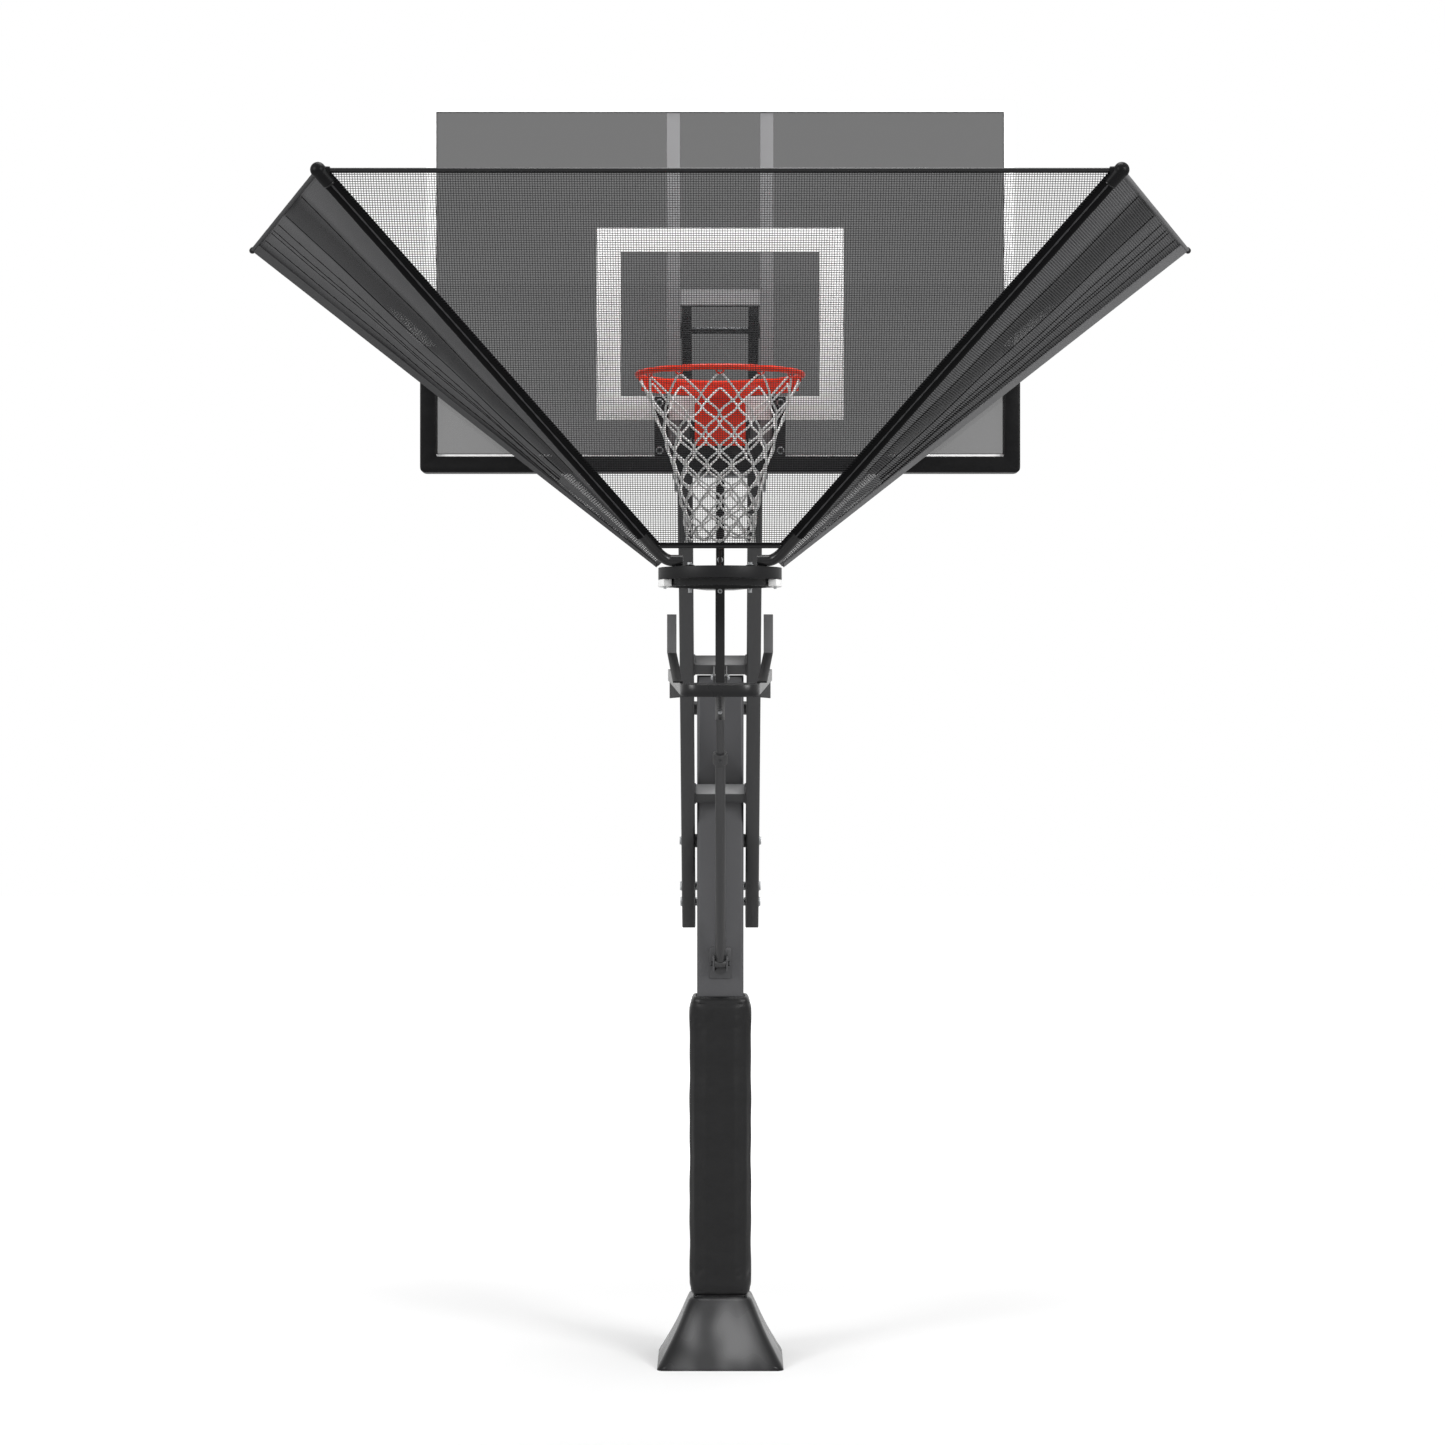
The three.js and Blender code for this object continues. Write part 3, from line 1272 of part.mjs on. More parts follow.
function addFrameTubes() {
  const right = framePlaces(1);
  const ends = [
    [right.otherTip, barRadius, barSocketStart, 12],
    [right.foot, netTubeRadius, tubeSocketStart, 24],
    [right.corner, wingRodRadius, barSocketStart, 12],
  ];
  pair(goal, "corner_fitting", () => {
    const sockets = ends.map(([end, radius, start, sides]) => {
      const socket = rodAlongZ(radius + socketRoom, start, tubeSleeveLength + overrun, 0, 0, sides);
      return layGeometry(socket, right.tip, end);
    });
    return cut(fittingForm(right, 0), ...sockets);
  }, blackPlastic);

  [["left", -1], ["right", 1]].forEach(([name, side]) => {
    const { tip, foot, corner, tubeEnd } = framePlaces(side);
    const start = stepFrom(tip, foot, tubeSocketStart + seat);
    const tube = roundTube(netTubeRadius, netTubeWall, start.distanceTo(tubeEnd) - seat);
    layBetween(node(goal, `net_tube_${name}`, tube, blackPaint), start, foot);

    const bend = new THREE.CurvePath();
    const before = stepFrom(foot, tip, elbowBend);
    const end = new THREE.Vector3(side * elbowEnd, -tubeFootReach, tubeFootHeight);
    const after = stepFrom(foot, end, elbowEndBend);
    bend.add(new THREE.LineCurve3(tubeEnd, before));
    bend.add(new THREE.QuadraticBezierCurve3(before, foot, after));
    bend.add(new THREE.LineCurve3(after, end));
    const section = new THREE.Shape().absarc(0, 0, netTubeRadius, 0, Math.PI * 2);
    const elbow = new THREE.ExtrudeGeometry(section, { steps: 10, curveSegments: 6, extrudePath: bend });
    node(goal, `ring_elbow_${name}`, elbow, blackPaint);

    const rodStart = stepFrom(tip, corner, barSocketStart + seat);
    const reach = rodStart.distanceTo(corner);
    const rod = join(
      rodAlongZ(wingRodRadius, 0, reach, 0, 0, 12),
      rodAlongZ(wingKnobRadius, reach - weld, reach + wingKnobLength, 0, 0, 12),
    );
    layBetween(node(goal, `wing_rod_${name}`, rod, blackPaint), rodStart, corner);
  });

  const inset = barSocketStart + seat;
  const topBar = rodAlongX(barRadius, inset - tipAcross, tipAcross - inset, -tipReach, tipHeight, 12);
  node(goal, "net_top_bar", topBar, blackPaint);
  const end = right.barEnd;
  const room = [-1, 1].map((side) => {
    const { tip, foot } = framePlaces(side);
    return layGeometry(rodAlongZ(netTubeRadius + seat, 0, tip.distanceTo(foot), 0, 0, 32), tip, foot);
  });
  const bottomBar = cut(rodAlongX(barRadius, -end.x, end.x, end.y, end.z, 12), ...room);
  node(goal, "net_bottom_bar", bottomBar, blackPaint);
}

// A convex outline moved inwards, edge by edge: inset[i] belongs to the edge from point i to the next.
function insetOutline(points, insets) {
  const turn = THREE.ShapeUtils.area(points) > 0 ? 1 : -1;
  const lines = points.map((p, i) => {
    const q = points[(i + 1) % points.length];
    const along = q.clone().sub(p).normalize();
    const inward = new THREE.Vector2(-along.y, along.x).multiplyScalar(turn);
    return { start: p.clone().addScaledVector(inward, insets[i]), along, inward };
  });
  return lines.map((line, i) => {
    const before = lines[(i + lines.length - 1) % lines.length];
    const across = before.along.cross(line.along);
    const share = line.start.clone().sub(before.start).cross(line.along) / across;
    return before.start.clone().addScaledVector(before.along, share);
  });
}

function clipToOutline(square, outline) {
  const turn = THREE.ShapeUtils.area(outline) > 0 ? 1 : -1;
  let left = square;
  outline.forEach((p, i) => {
    const along = outline[(i + 1) % outline.length].clone().sub(p);
    const side = (q) => turn * along.cross(q.clone().sub(p));
    const next = [];
    left.forEach((a, k) => {
      const b = left[(k + 1) % left.length];
      const [sa, sb] = [side(a), side(b)];
      if (sa >= 0) next.push(a);
      if (sa * sb < 0) next.push(a.clone().lerp(b, sa / (sa - sb)));
    });
    left = next;
  });
  return left;
}

// A flat net on corners in space. Edge i runs from corner i to the next, keeps clear of it by
// clearances[i] and has a hem hems[i] wide.
function flatNet(corners, clearances, hems) {
  const origin = corners[0];
  const across = corners[1].clone().sub(origin).normalize();
  const normal = across.clone().cross(corners[2].clone().sub(origin)).normalize();
  const down = normal.clone().cross(across);
  const flat = corners.map((p) => {
    const from = p.clone().sub(origin);
    return new THREE.Vector2(from.dot(across), from.dot(down));
  });
  const edge = insetOutline(flat, clearances);
  const field = insetOutline(edge, hems);
  const outline = new THREE.Shape(edge);
  const gaps = [];
  const box = new THREE.Box2().setFromPoints(field);
  const half = (meshPitch - meshStrand) / 2;
  const least = meshStrand * meshStrand;
  const middle = (box.min.x + box.max.x) / 2;
  const first = middle - Math.ceil((box.max.x - box.min.x) / 2 / meshPitch) * meshPitch;
  for (let x = first; x < box.max.x + half; x += meshPitch)
    for (let y = box.min.y + half; y < box.max.y + half; y += meshPitch) {
      const square = [[-1, -1], [1, -1], [1, 1], [-1, 1]].map(([i, j]) =>
        new THREE.Vector2(x + i * half, y + j * half));
      const gap = clipToOutline(square, field);
      const open = gap.filter((p, i) => p.distanceTo(gap.at(i - 1)) > nearestPoints);
      if (open.length > 2 && Math.abs(THREE.ShapeUtils.area(open)) > least)
        gaps.push(extrude(new THREE.Shape(open), meshThickness + 2 * overrun).translate(0, 0, -overrun));
    }
  const net = cut(extrude(outline, meshThickness), mergeGeometries(gaps));
  const place = new THREE.Matrix4().makeBasis(across, down, normal).setPosition(origin);
  return { net: net.translate(0, 0, -meshThickness / 2).applyMatrix4(place), gaps: gaps.length };
}

function addNets() {
  const left = framePlaces(-1);
  const right = framePlaces(1);
  const tubeRoom = netTubeRadius + seat;
  const barRoom = barRadius + seat;
  const front = flatNet([left.tip, right.tip, right.barEnd, left.barEnd],
    [barRoom, tubeRoom, barRoom, tubeRoom], [frontHem, frontHem, frontHem, frontHem]);
  const fittings = [left, right].map((places) => fittingForm(places, seat));
  node(goal, "front_net", cut(front.net, ...fittings), blackNet);
  console.log(`front_net: ${front.gaps} gaps`);

  const wing = (places) => flatNet([places.tip, places.corner, places.wingFoot, places.foot],
    [barRoom, 0, 0, tubeRoom], [frontHem, wingHem, frontHem, frontHem]);
  const bare = wing(right);
  console.log(`wing_net_right: ${bare.gaps} gaps`);
  pair(goal, "wing_net", () => cut(bare.net.clone(), fittingForm(right, seat)), blackNet);
}

addBase();
addPole();
addLowerArms();
addUpperArms();
addStrut();
addBoard();
addSubframe();
addRimBracket();
addRim();
addHoopNet();
addMastAndRing();
addChute();
addFrameTubes();
addNets();

export default goal;
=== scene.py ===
import json
import math
import random

import bmesh
import bpy
from mathutils import Matrix, Vector


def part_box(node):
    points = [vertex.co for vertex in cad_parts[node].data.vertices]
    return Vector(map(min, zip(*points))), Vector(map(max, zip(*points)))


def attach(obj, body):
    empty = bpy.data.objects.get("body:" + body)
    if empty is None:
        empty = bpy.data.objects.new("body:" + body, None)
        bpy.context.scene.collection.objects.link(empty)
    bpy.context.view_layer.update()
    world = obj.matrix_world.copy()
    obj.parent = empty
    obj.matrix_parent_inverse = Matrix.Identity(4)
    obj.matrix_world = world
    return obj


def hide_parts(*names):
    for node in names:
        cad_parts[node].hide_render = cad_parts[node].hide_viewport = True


# The frame holds the solids of the basketball goal with its ball return, in metres, +Z up.
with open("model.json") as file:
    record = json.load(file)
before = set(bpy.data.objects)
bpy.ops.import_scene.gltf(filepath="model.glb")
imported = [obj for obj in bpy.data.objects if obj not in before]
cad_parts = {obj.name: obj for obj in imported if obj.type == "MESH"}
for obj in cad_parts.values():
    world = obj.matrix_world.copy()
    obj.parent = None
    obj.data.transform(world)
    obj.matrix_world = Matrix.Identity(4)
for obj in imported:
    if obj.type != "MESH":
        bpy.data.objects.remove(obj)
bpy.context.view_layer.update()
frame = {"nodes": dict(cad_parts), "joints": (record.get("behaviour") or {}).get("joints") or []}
joints = {joint["name"]: joint for joint in frame["joints"]}
scene = bpy.context.scene

# Camera: level, as high as the chute, far in front of the board
CAMERA_PLACE = (0.007, -11.312, 2.063)
CAMERA_LENS = 87.03  # on a sensor 36 mm wide
LEVEL = math.pi / 2


def add_camera():
    data = bpy.data.cameras.new("camera")
    data.lens = CAMERA_LENS
    camera = bpy.data.objects.new("camera", data)
    camera.location = CAMERA_PLACE
    camera.rotation_euler = (LEVEL, 0, 0)
    scene.collection.objects.link(camera)
    scene.camera = camera


add_camera()


# Shader maths as Python expressions
class Value:
    """A socket of a finish, which takes part in sums."""

    def __init__(self, finish, socket):
        self.finish = finish
        self.socket = socket

    def __add__(self, other):
        return self.finish.calc("ADD", self, other)

    def __sub__(self, other):
        return self.finish.calc("SUBTRACT", self, other)

    def __rsub__(self, other):
        return self.finish.calc("SUBTRACT", other, self)

    def __mul__(self, other):
        return self.finish.calc("MULTIPLY", self, other)

    def __truediv__(self, other):
        return self.finish.calc("DIVIDE", self, other)

    def __rtruediv__(self, other):
        return self.finish.calc("DIVIDE", other, self)

    def __abs__(self):
        return self.finish.calc("ABSOLUTE", self)

    __radd__ = __add__
    __rmul__ = __mul__


class Finish:
    """A material whose look comes from nodes, and the record's slot that it belongs to."""

    def __init__(self, name, slot, **sockets):
        self.material = bpy.data.materials.new(name)
        self.material.use_nodes = True
        self.tree = self.material.node_tree
        self.shader = self.tree.nodes["Principled BSDF"]
        self.slot = slot
        for key, value in sockets.items():
            self.set(key.replace("_", " ").title().replace("Ior", "IOR"), value)

    def set(self, socket, value):
        """Gives a shader socket a number, a colour or a link."""
        self._fill(self.shader.inputs[socket], value)

    def _fill(self, socket, value):
        if isinstance(value, Value):
            self.tree.links.new(value.socket, socket)
        else:
            socket.default_value = value

    def node(self, kind, settings=None, inputs=None, output=0):
        """Adds a node, with its settings first and then its sockets' values or links."""
        made = self.tree.nodes.new("ShaderNode" + kind)
        for key, value in (settings or {}).items():
            setattr(made, key, value)
        for key, value in (inputs or {}).items():
            self._fill(made.inputs[key], value)
        return Value(self, made.outputs[output])

    def calc(self, operation, *terms):
        return self.node("Math", {"operation": operation}, dict(enumerate(terms)))

    def place(self, stretch=(1, 1, 1)):
        at = self.node("TexCoord", output="Object")
        return self.node("Mapping", None, {"Vector": at, "Scale": stretch})

    def axes(self):
        split = self.node("SeparateXYZ", None, {0: self.node("TexCoord", output="Object")})
        return [Value(self, split.socket.node.outputs[i]) for i in range(3)]

    def noise(self, scale, detail=3.0, roughness=0.5, stretch=(1, 1, 1)):
        return self.node("TexNoise", None, {
            "Vector": self.place(stretch), "Scale": scale, "Detail": detail, "Roughness": roughness,
        })

    def cells(self, kind, scale):
        return self.node("TexVoronoi", {"feature": kind}, {"Vector": self.place(), "Scale": scale})

    def blend(self, share, first, second):
        inputs = {0: share, 6: first, 7: second}
        return self.node("Mix", {"data_type": "RGBA"}, inputs, output=2)

    def steps(self, value, low, high):
        """0 below low, 1 above high and a smooth rise between them."""
        return self.node("MapRange", {"interpolation_type": "SMOOTHSTEP"},
                         {0: value, 1: low, 2: high})

    def relief(self, height, distance=1.0):
        bump = self.node("Bump", None, {"Height": height, "Distance": distance, "Strength": 1.0})
        self.set("Normal", bump)


def shade(colour, factor=1.0):
    return (*(min(channel * factor, 1.0) for channel in colour), 1.0)


# Sizes that the looks share with the solids
HOOP_REACH = -joints["chute_swivel"]["pos_m"][1]
POST_INNER = 0.118
POST_WIDTH = 0.039
CROSS_FLAT = (3.293, 3.340)
MOUNT_PLATE = (2.840, 3.023)
MOUNT_PLATE_HALF = 0.19
COVER_FOOT = 0.202
COVER_SLOPE = 0.486  # how fast the base cover narrows with height
# ball guides: painted shade below their knee, painted light above it
GUIDE_KNEE = 2.262  # where the ball guides turn upright
LIT_EDGE = 1.8341  # the front edge of the lower crossbar, between its face and its top
FOLD_LIGHTING = "fold_light_and_shade"  # attribute of a wing net: how much painted light it gets, 0 in the painted shade inside a fold, 1 where it lies open to the light

# Finishes
GREY = (0.020, 0.020, 0.021)
POLE_GREY = (0.047, 0.047, 0.050)
PALE_GREY = (0.40, 0.41, 0.415)
# The upper arms' paint, painted lighter: painted light
LIT_ARM_GREY = (0.036, 0.036, 0.037)
LUG_GREY = (0.040, 0.040, 0.042)
RAMP_GREY = (0.030, 0.030, 0.031)
# Painted shade and painted light of the ball guides, below and above their knee
GUIDE_SHADE_AND_LIGHT_TONES = ((0.010, 0.010, 0.0105), (0.085, 0.085, 0.087))
# The crossbar's paint, and painted light on its top
BAR_PAINT_AND_LIT_TOP_TONES = (GREY, (0.115, 0.116, 0.118))
# Painted light and shade of the base cover's dents, and the painted shade in its corners
COVER_DENT_LIGHT_AND_SHADE_TONES = ((0.040, 0.040, 0.041), (0.135, 0.135, 0.137))
COVER_CORNER_SHADE_TONE = (0.010, 0.010, 0.0105)
BLACK = (0.008, 0.008, 0.0085)
JET = (0.003, 0.003, 0.0032)
WHITE = (0.90, 0.90, 0.90)
RIM_RED = (0.95, 0.040, 0.008)
ZINC = (0.46, 0.47, 0.48)
NYLON = (0.80, 0.80, 0.79)
CORD_WHITE = (0.93, 0.93, 0.92)
NET_BLACK = (0.012, 0.012, 0.013)
# The wing nets: the black netting painted lighter where lit, with painted shade in its folds
WING_LIT_TONE = (0.070, 0.070, 0.072)
FOLD_SHADE_TONE = (0.007, 0.007, 0.0075)
TAPE_BLACK = (0.0028, 0.0028, 0.003)
# The wing hems' tape: painted half lit on the left wing, painted lit on the right
HEM_HALF_LIT_TONE = (0.022, 0.022, 0.023)
HEM_LIT_TONE = (0.090, 0.090, 0.092)
SMOKE_AND_LIT_CORNER_TONES = ((0.006, 0.006, 0.0065), (0.020, 0.020, 0.021))  # upper glass, and lower corners painted lighter
# Painted light: the pale subframe seen through the glass, painted on as pale bands
RAIL_SEE_THROUGH_TONES = ((0.20, 0.20, 0.205), (0.27, 0.27, 0.275))
FLAT_SEE_THROUGH_TONE = (0.33, 0.33, 0.335)
PEEL_SCALE, PEEL_DEPTH = 620.0, 0.00008  # the orange peel of baked paint
GRAIN_SCALE, GRAIN_DEPTH = 900.0, 0.00003  # the grain of a moulding tool
BLUR = 0.0015  # half of the width over which a painted edge fades


def powder_coat(name, slot, colour, roughness, patch=0.10, gloss=0.5):
    """Baked paint: an orange-peel surface, faint clouds of colour and rubbed places."""
    finish = Finish(name, slot, specular_ior_level=gloss)
    cloud = finish.noise(2.6, detail=5.0, roughness=0.6)
    rubbed = finish.steps(finish.noise(14.0, detail=8.0, roughness=0.7), 0.62, 0.80)
    clouded = finish.blend(cloud, shade(colour, 1 - patch), shade(colour, 1 + patch))
    finish.set("Base Color", finish.blend(rubbed * 0.35, clouded, shade(colour, 1.5)))
    finish.set("Roughness", roughness + (cloud - 0.5) * 0.16 + rubbed * 0.06)
    finish.relief(finish.noise(PEEL_SCALE, detail=2.0), PEEL_DEPTH)
    return finish


def painted_light_above(name, height, tones, gloss):
    """Baked paint, painted lighter above a height: the light above it and any darker tone below it are
    painted light and shade.
    """
    finish = Finish(name, "dark_steel", specular_ior_level=gloss)
    z = finish.axes()[2]
    cloud = finish.noise(9.0, detail=5.0, roughness=0.6)
    # Painted light above the height, with faint clouds of tone
    tone_and_painted_light = finish.steps(z, height - BLUR, height + BLUR) * (0.85 + cloud * 0.3)
    finish.set("Base Color", finish.blend(tone_and_painted_light, shade(tones[0]), shade(tones[1])))
    finish.set("Roughness", 0.38 + cloud * 0.12)
    finish.relief(finish.noise(PEEL_SCALE, detail=2.0), PEEL_DEPTH)
    return finish


def zinc_plate(name, tone):
    """Plated steel: fine spangle, and dull and bright places."""
    finish = Finish(name, "zinc", metallic=1.0)
    spangle = finish.cells("F1", 260.0)
    dull = finish.noise(45.0, detail=6.0, roughness=0.65)
    finish.set("Base Color", finish.blend(dull, shade(ZINC, 0.72 * tone), shade(ZINC, 1.25 * tone)))
    finish.set("Roughness", 0.24 + dull * 0.22 + spangle * 0.05)
    finish.relief(dull, 0.00012)
    return finish


def moulded_plastic(name, slot, colour, roughness, gloss=0.5):
    """Plastic with the grain of its moulding tool."""
    finish = Finish(name, slot, specular_ior_level=gloss)
    wave = finish.noise(7.0, detail=2.0, stretch=(1, 1, 0.45))
    finish.set("Base Color", finish.blend(wave, shade(colour, 0.85), shade(colour, 1.3)))
    finish.set("Roughness", roughness + wave * 0.14)
    finish.relief(finish.noise(GRAIN_SCALE, detail=2.0) * GRAIN_DEPTH)
    return finish


def moulded_cover():
    """Gloss plastic of the base cover: soft dents in its faces with painted light and shade following
    them, and painted shade in its corners.
    """
    finish = Finish("moulded_cover", "gloss_black", specular_ior_level=0.14)
    x, y, z = finish.axes()
    corner = finish.calc("MINIMUM", abs(x), abs(y)) / (COVER_FOOT - z * COVER_SLOPE)
    wave = finish.noise(7.5, detail=1.0, stretch=(1, 1, 0.7))
    # Painted light and shade that follow the dents
    face = finish.blend(finish.steps(wave, 0.34, 0.66), *(shade(tone) for tone in COVER_DENT_LIGHT_AND_SHADE_TONES))
    corner = finish.steps(corner, 0.48, 0.95)
    # Painted shade in the rounded corners
    finish.set("Base Color", finish.blend(corner, face, shade(COVER_CORNER_SHADE_TONE)))
    finish.set("Roughness", 0.22 + wave * 0.1)
    finish.relief(wave * 0.004 + finish.noise(GRAIN_SCALE, detail=2.0) * GRAIN_DEPTH)
    return finish


def grained_vinyl(name, gloss, tone):
    """Pad cover: pebbled grain and creases, painted lighter on their high places and darker in their
    hollows: painted sheen and painted shade.
    """
    finish = Finish(name, "pad_vinyl", specular_ior_level=gloss)
    pebble = finish.cells("SMOOTH_F1", 420.0)
    crease_and_sheen = finish.noise(26.0, detail=6.0, roughness=0.62, stretch=(1, 1, 1.7))
    tones = shade(BLACK, 0.7 * tone), shade(BLACK, 1.7 * tone)
    # Painted sheen on the creases' high places, painted shade in their hollows
    finish.set("Base Color", finish.blend(crease_and_sheen, *tones))
    finish.set("Roughness", 0.26 + pebble * 0.12 + crease_and_sheen * 0.12)
    finish.relief(pebble * 0.00016 + crease_and_sheen * 0.0009)
    return finish


def netting(name, colour, lit, gathered=None, gloss=0.15):
    """Knitted thread: short fibres that catch the light along it. gathered is the tone of the painted
    shade inside a fold.
    """
    finish = Finish(name, "black_net", sheen_weight=0.25 * gloss, sheen_roughness=0.5,
                    specular_ior_level=gloss)
    fibre = finish.noise(700.0, detail=3.0)
    soil = finish.noise(5.0, detail=4.0)
    tone_and_painted_light = finish.blend(soil, shade(colour, 0.9), shade(colour, lit))
    if gathered:
        # Painted light and shade of the folds
        share = finish.node("Attribute", {"attribute_name": FOLD_LIGHTING}, output="Fac")
        tone_and_painted_light = finish.blend(share, shade(gathered), tone_and_painted_light)
    finish.set("Base Color", finish.blend(fibre * 0.3, tone_and_painted_light, shade(colour, lit * 1.15)))
    finish.set("Roughness", 0.62 + fibre * 0.3)
    finish.relief(fibre, 0.0003)
    return finish


def braided_cord():
    """White net cord: the ridges of its braid wind both ways round it."""
    finish = Finish("braided_cord", "white_net", sheen_weight=0.2)
    x, y, z = finish.axes()
    turn = finish.calc("ARCTAN2", y + HOOP_REACH, x)
    wind = [finish.calc("SINE", z * 900.0 + turn * hand) for hand in (190.0, -190.0)]
    fluff = finish.noise(420.0, detail=4.0)
    dusty = finish.blend(fluff, shade(CORD_WHITE, 0.86), shade(CORD_WHITE, 1.08))
    finish.set("Base Color", dusty)
    finish.set("Roughness", 0.72 + fluff * 0.2)
    finish.relief(wind[0] * wind[1] * 0.0002 + fluff * 0.00008)
    return finish


def tinted_glass():
    """Smoke-tinted board: the pale subframe behind it is painted on as pale bands, painted light where
    it shows through, and its lower corners are painted lighter.
    """
    finish = Finish("tinted_glass", "board_glass", roughness=0.04, ior=1.5)
    x, _, z = finish.axes()
    across = abs(x)

    def below(value, limit, past=BLUR):
        return 1.0 - finish.steps(value, limit - BLUR, limit + past)

    def between(value, low, high):
        return finish.steps(value, low - BLUR, low + BLUR) * below(value, high)

    # Painted light: pale bands where the subframe shows through the glass
    rails = between(across, POST_INNER, POST_INNER + POST_WIDTH)
    flat = between(z, *CROSS_FLAT) * below(across, POST_INNER, past=0.0)
    plate = between(z, *MOUNT_PLATE) * below(across, MOUNT_PLATE_HALF)
    streak = finish.noise(3.0, detail=3.0, stretch=(1, 1, 0.35))
    see_through_tone = finish.blend(streak, *(shade(tone) for tone in RAIL_SEE_THROUGH_TONES))
    see_through_tone = finish.blend(flat, see_through_tone, shade(FLAT_SEE_THROUGH_TONE))
    # Painted light in the lower corners
    corner = (1.0 - finish.steps(z, 2.85, 3.55)) * finish.steps(across, 0.1, 0.9)
    field = finish.blend(corner, *(shade(tone) for tone in SMOKE_AND_LIT_CORNER_TONES))
    see_through_mask = finish.calc("MAXIMUM", finish.calc("MAXIMUM", rails, flat), plate * 0.55)
    finish.set("Base Color", finish.blend(see_through_mask, field, see_through_tone))
    finish.set("Alpha", 0.61 + see_through_mask * 0.30 - corner * 0.07)
    finish.set("Roughness", 0.03 + finish.noise(9.0, detail=4.0) * 0.05)
    return finish


dark_steel = powder_coat("dark_powder_coat", "dark_steel", GREY, 0.40, gloss=0.45)
# The arms' paint painted a little lighter on the upper arms: painted light
lit_arm_steel = powder_coat("lit_upper_arm_powder_coat", "dark_steel", LIT_ARM_GREY, 0.40, gloss=0.45)
lug_steel = powder_coat("lug_powder_coat", "dark_steel", LUG_GREY, 0.36, gloss=0.4)
ramp_steel = powder_coat("ramp_powder_coat", "dark_steel", RAMP_GREY, 0.6, gloss=0.02)
# Painted shade and light: the guides below and above their knee, the crossbar's lit top
guide_steel = painted_light_above("guide_powder_coat", GUIDE_KNEE, GUIDE_SHADE_AND_LIGHT_TONES, 0.12)
bar_steel = painted_light_above("crossbar_powder_coat", LIT_EDGE, BAR_PAINT_AND_LIT_TOP_TONES, 0.40)
pole_steel = powder_coat("pole_powder_coat", "pole_steel", POLE_GREY, 0.36)
pale_steel = powder_coat("pale_powder_coat", "pale_steel", PALE_GREY, 0.45)
black_steel = powder_coat("black_powder_coat", "black_steel", BLACK, 0.27, gloss=0.24)
ring_steel = powder_coat("ring_powder_coat", "black_steel", BLACK, 0.44, gloss=0.14)
white_paint = powder_coat("white_powder_coat", "white_paint", WHITE, 0.34, patch=0.02)
rim_paint = powder_coat("rim_powder_coat", "rim_paint", RIM_RED, 0.30, patch=0.05, gloss=0.16)
zinc = zinc_plate("zinc_plate", 1.0)
dark_zinc = zinc_plate("blackened_zinc_plate", 0.12)
cover_plastic = moulded_cover()
end_plastic = moulded_plastic("end_cap_plastic", "gloss_black", BLACK, 0.42, gloss=0.16)
fitting_plastic = moulded_plastic("corner_fitting_plastic", "gloss_black", JET, 0.34, gloss=0.09)
white_nylon = moulded_plastic("white_nylon_plastic", "white_nylon", NYLON, 0.38)
pad_vinyl = grained_vinyl("grained_vinyl", 0.25, 0.6)
edge_vinyl = grained_vinyl("edge_pad_vinyl", 0.09, 0.5)
black_netting = netting("black_netting", NET_BLACK, 1.6)
# Painted light on the wing nets, and painted shade in their folds
wing_netting = netting("wing_netting", WING_LIT_TONE, 1.3, gathered=FOLD_SHADE_TONE)
hem_tape = netting("hem_tape", TAPE_BLACK, 1.3, gloss=0.03)
# Painted light on the wing hems: less on the left wing, more on the right
hem_half_lit = netting("half_lit_hem_tape", HEM_HALF_LIT_TONE, 1.4)
hem_lit = netting("lit_hem_tape", HEM_LIT_TONE, 1.4)
white_cord = braided_cord()
# Glass with painted light: the subframe seen through it and its lighter lower corners
board_glass = tinted_glass()

# Bodies and sides
POST, ARMS_LOWER, CARRIAGE = "post", "lower_arms", "board_carriage"
RIM, CHUTE = "rim", "chute"
SIDES = (("left", -1), ("right", 1))

MERGE = 0.00002  # vertices closer than this are one
FLAT = math.radians(0.6)
HAIR = 0.0003  # keeps two faces out of one plane
OVERLAP = 0.001  # how far joined shapes run into each other
BEAD_STEP = 0.003  # along a weld
SQUARE = 60  # degrees: takes square edges and leaves the facets of a round alone
FINE_EDGE, SHANK_EDGE, SCREW_EDGE = 0.001, 0.0008, 0.0006
WASHER_SHARE = 0.22  # of a bolt head's height


# Meshes
def toward(start, end, distance):
    return start + (end - start).normalized() * distance


def bend(start, control, end, count):
    """Points on a curve that leaves start for control and comes from it to end."""
    start, control, end = Vector(start), Vector(control), Vector(end)
    return [
        start * (1 - t) ** 2 + control * 2 * t * (1 - t) + end * t ** 2
        for t in (i / count for i in range(count + 1))
    ]


def bead(start, end, count=None):
    """Points along a straight line, as close as along a weld unless counted."""
    start, end = Vector(start), Vector(end)
    count = count or max(int((end - start).length / BEAD_STEP), 2)
    return [start.lerp(end, i / count) for i in range(count + 1)]


def ripple(i):
    """How a weld or a seam swells and shrinks from point to point."""
    return 1 + 0.22 * math.sin(i * 2.4) + 0.1 * math.sin(i * 1.1)


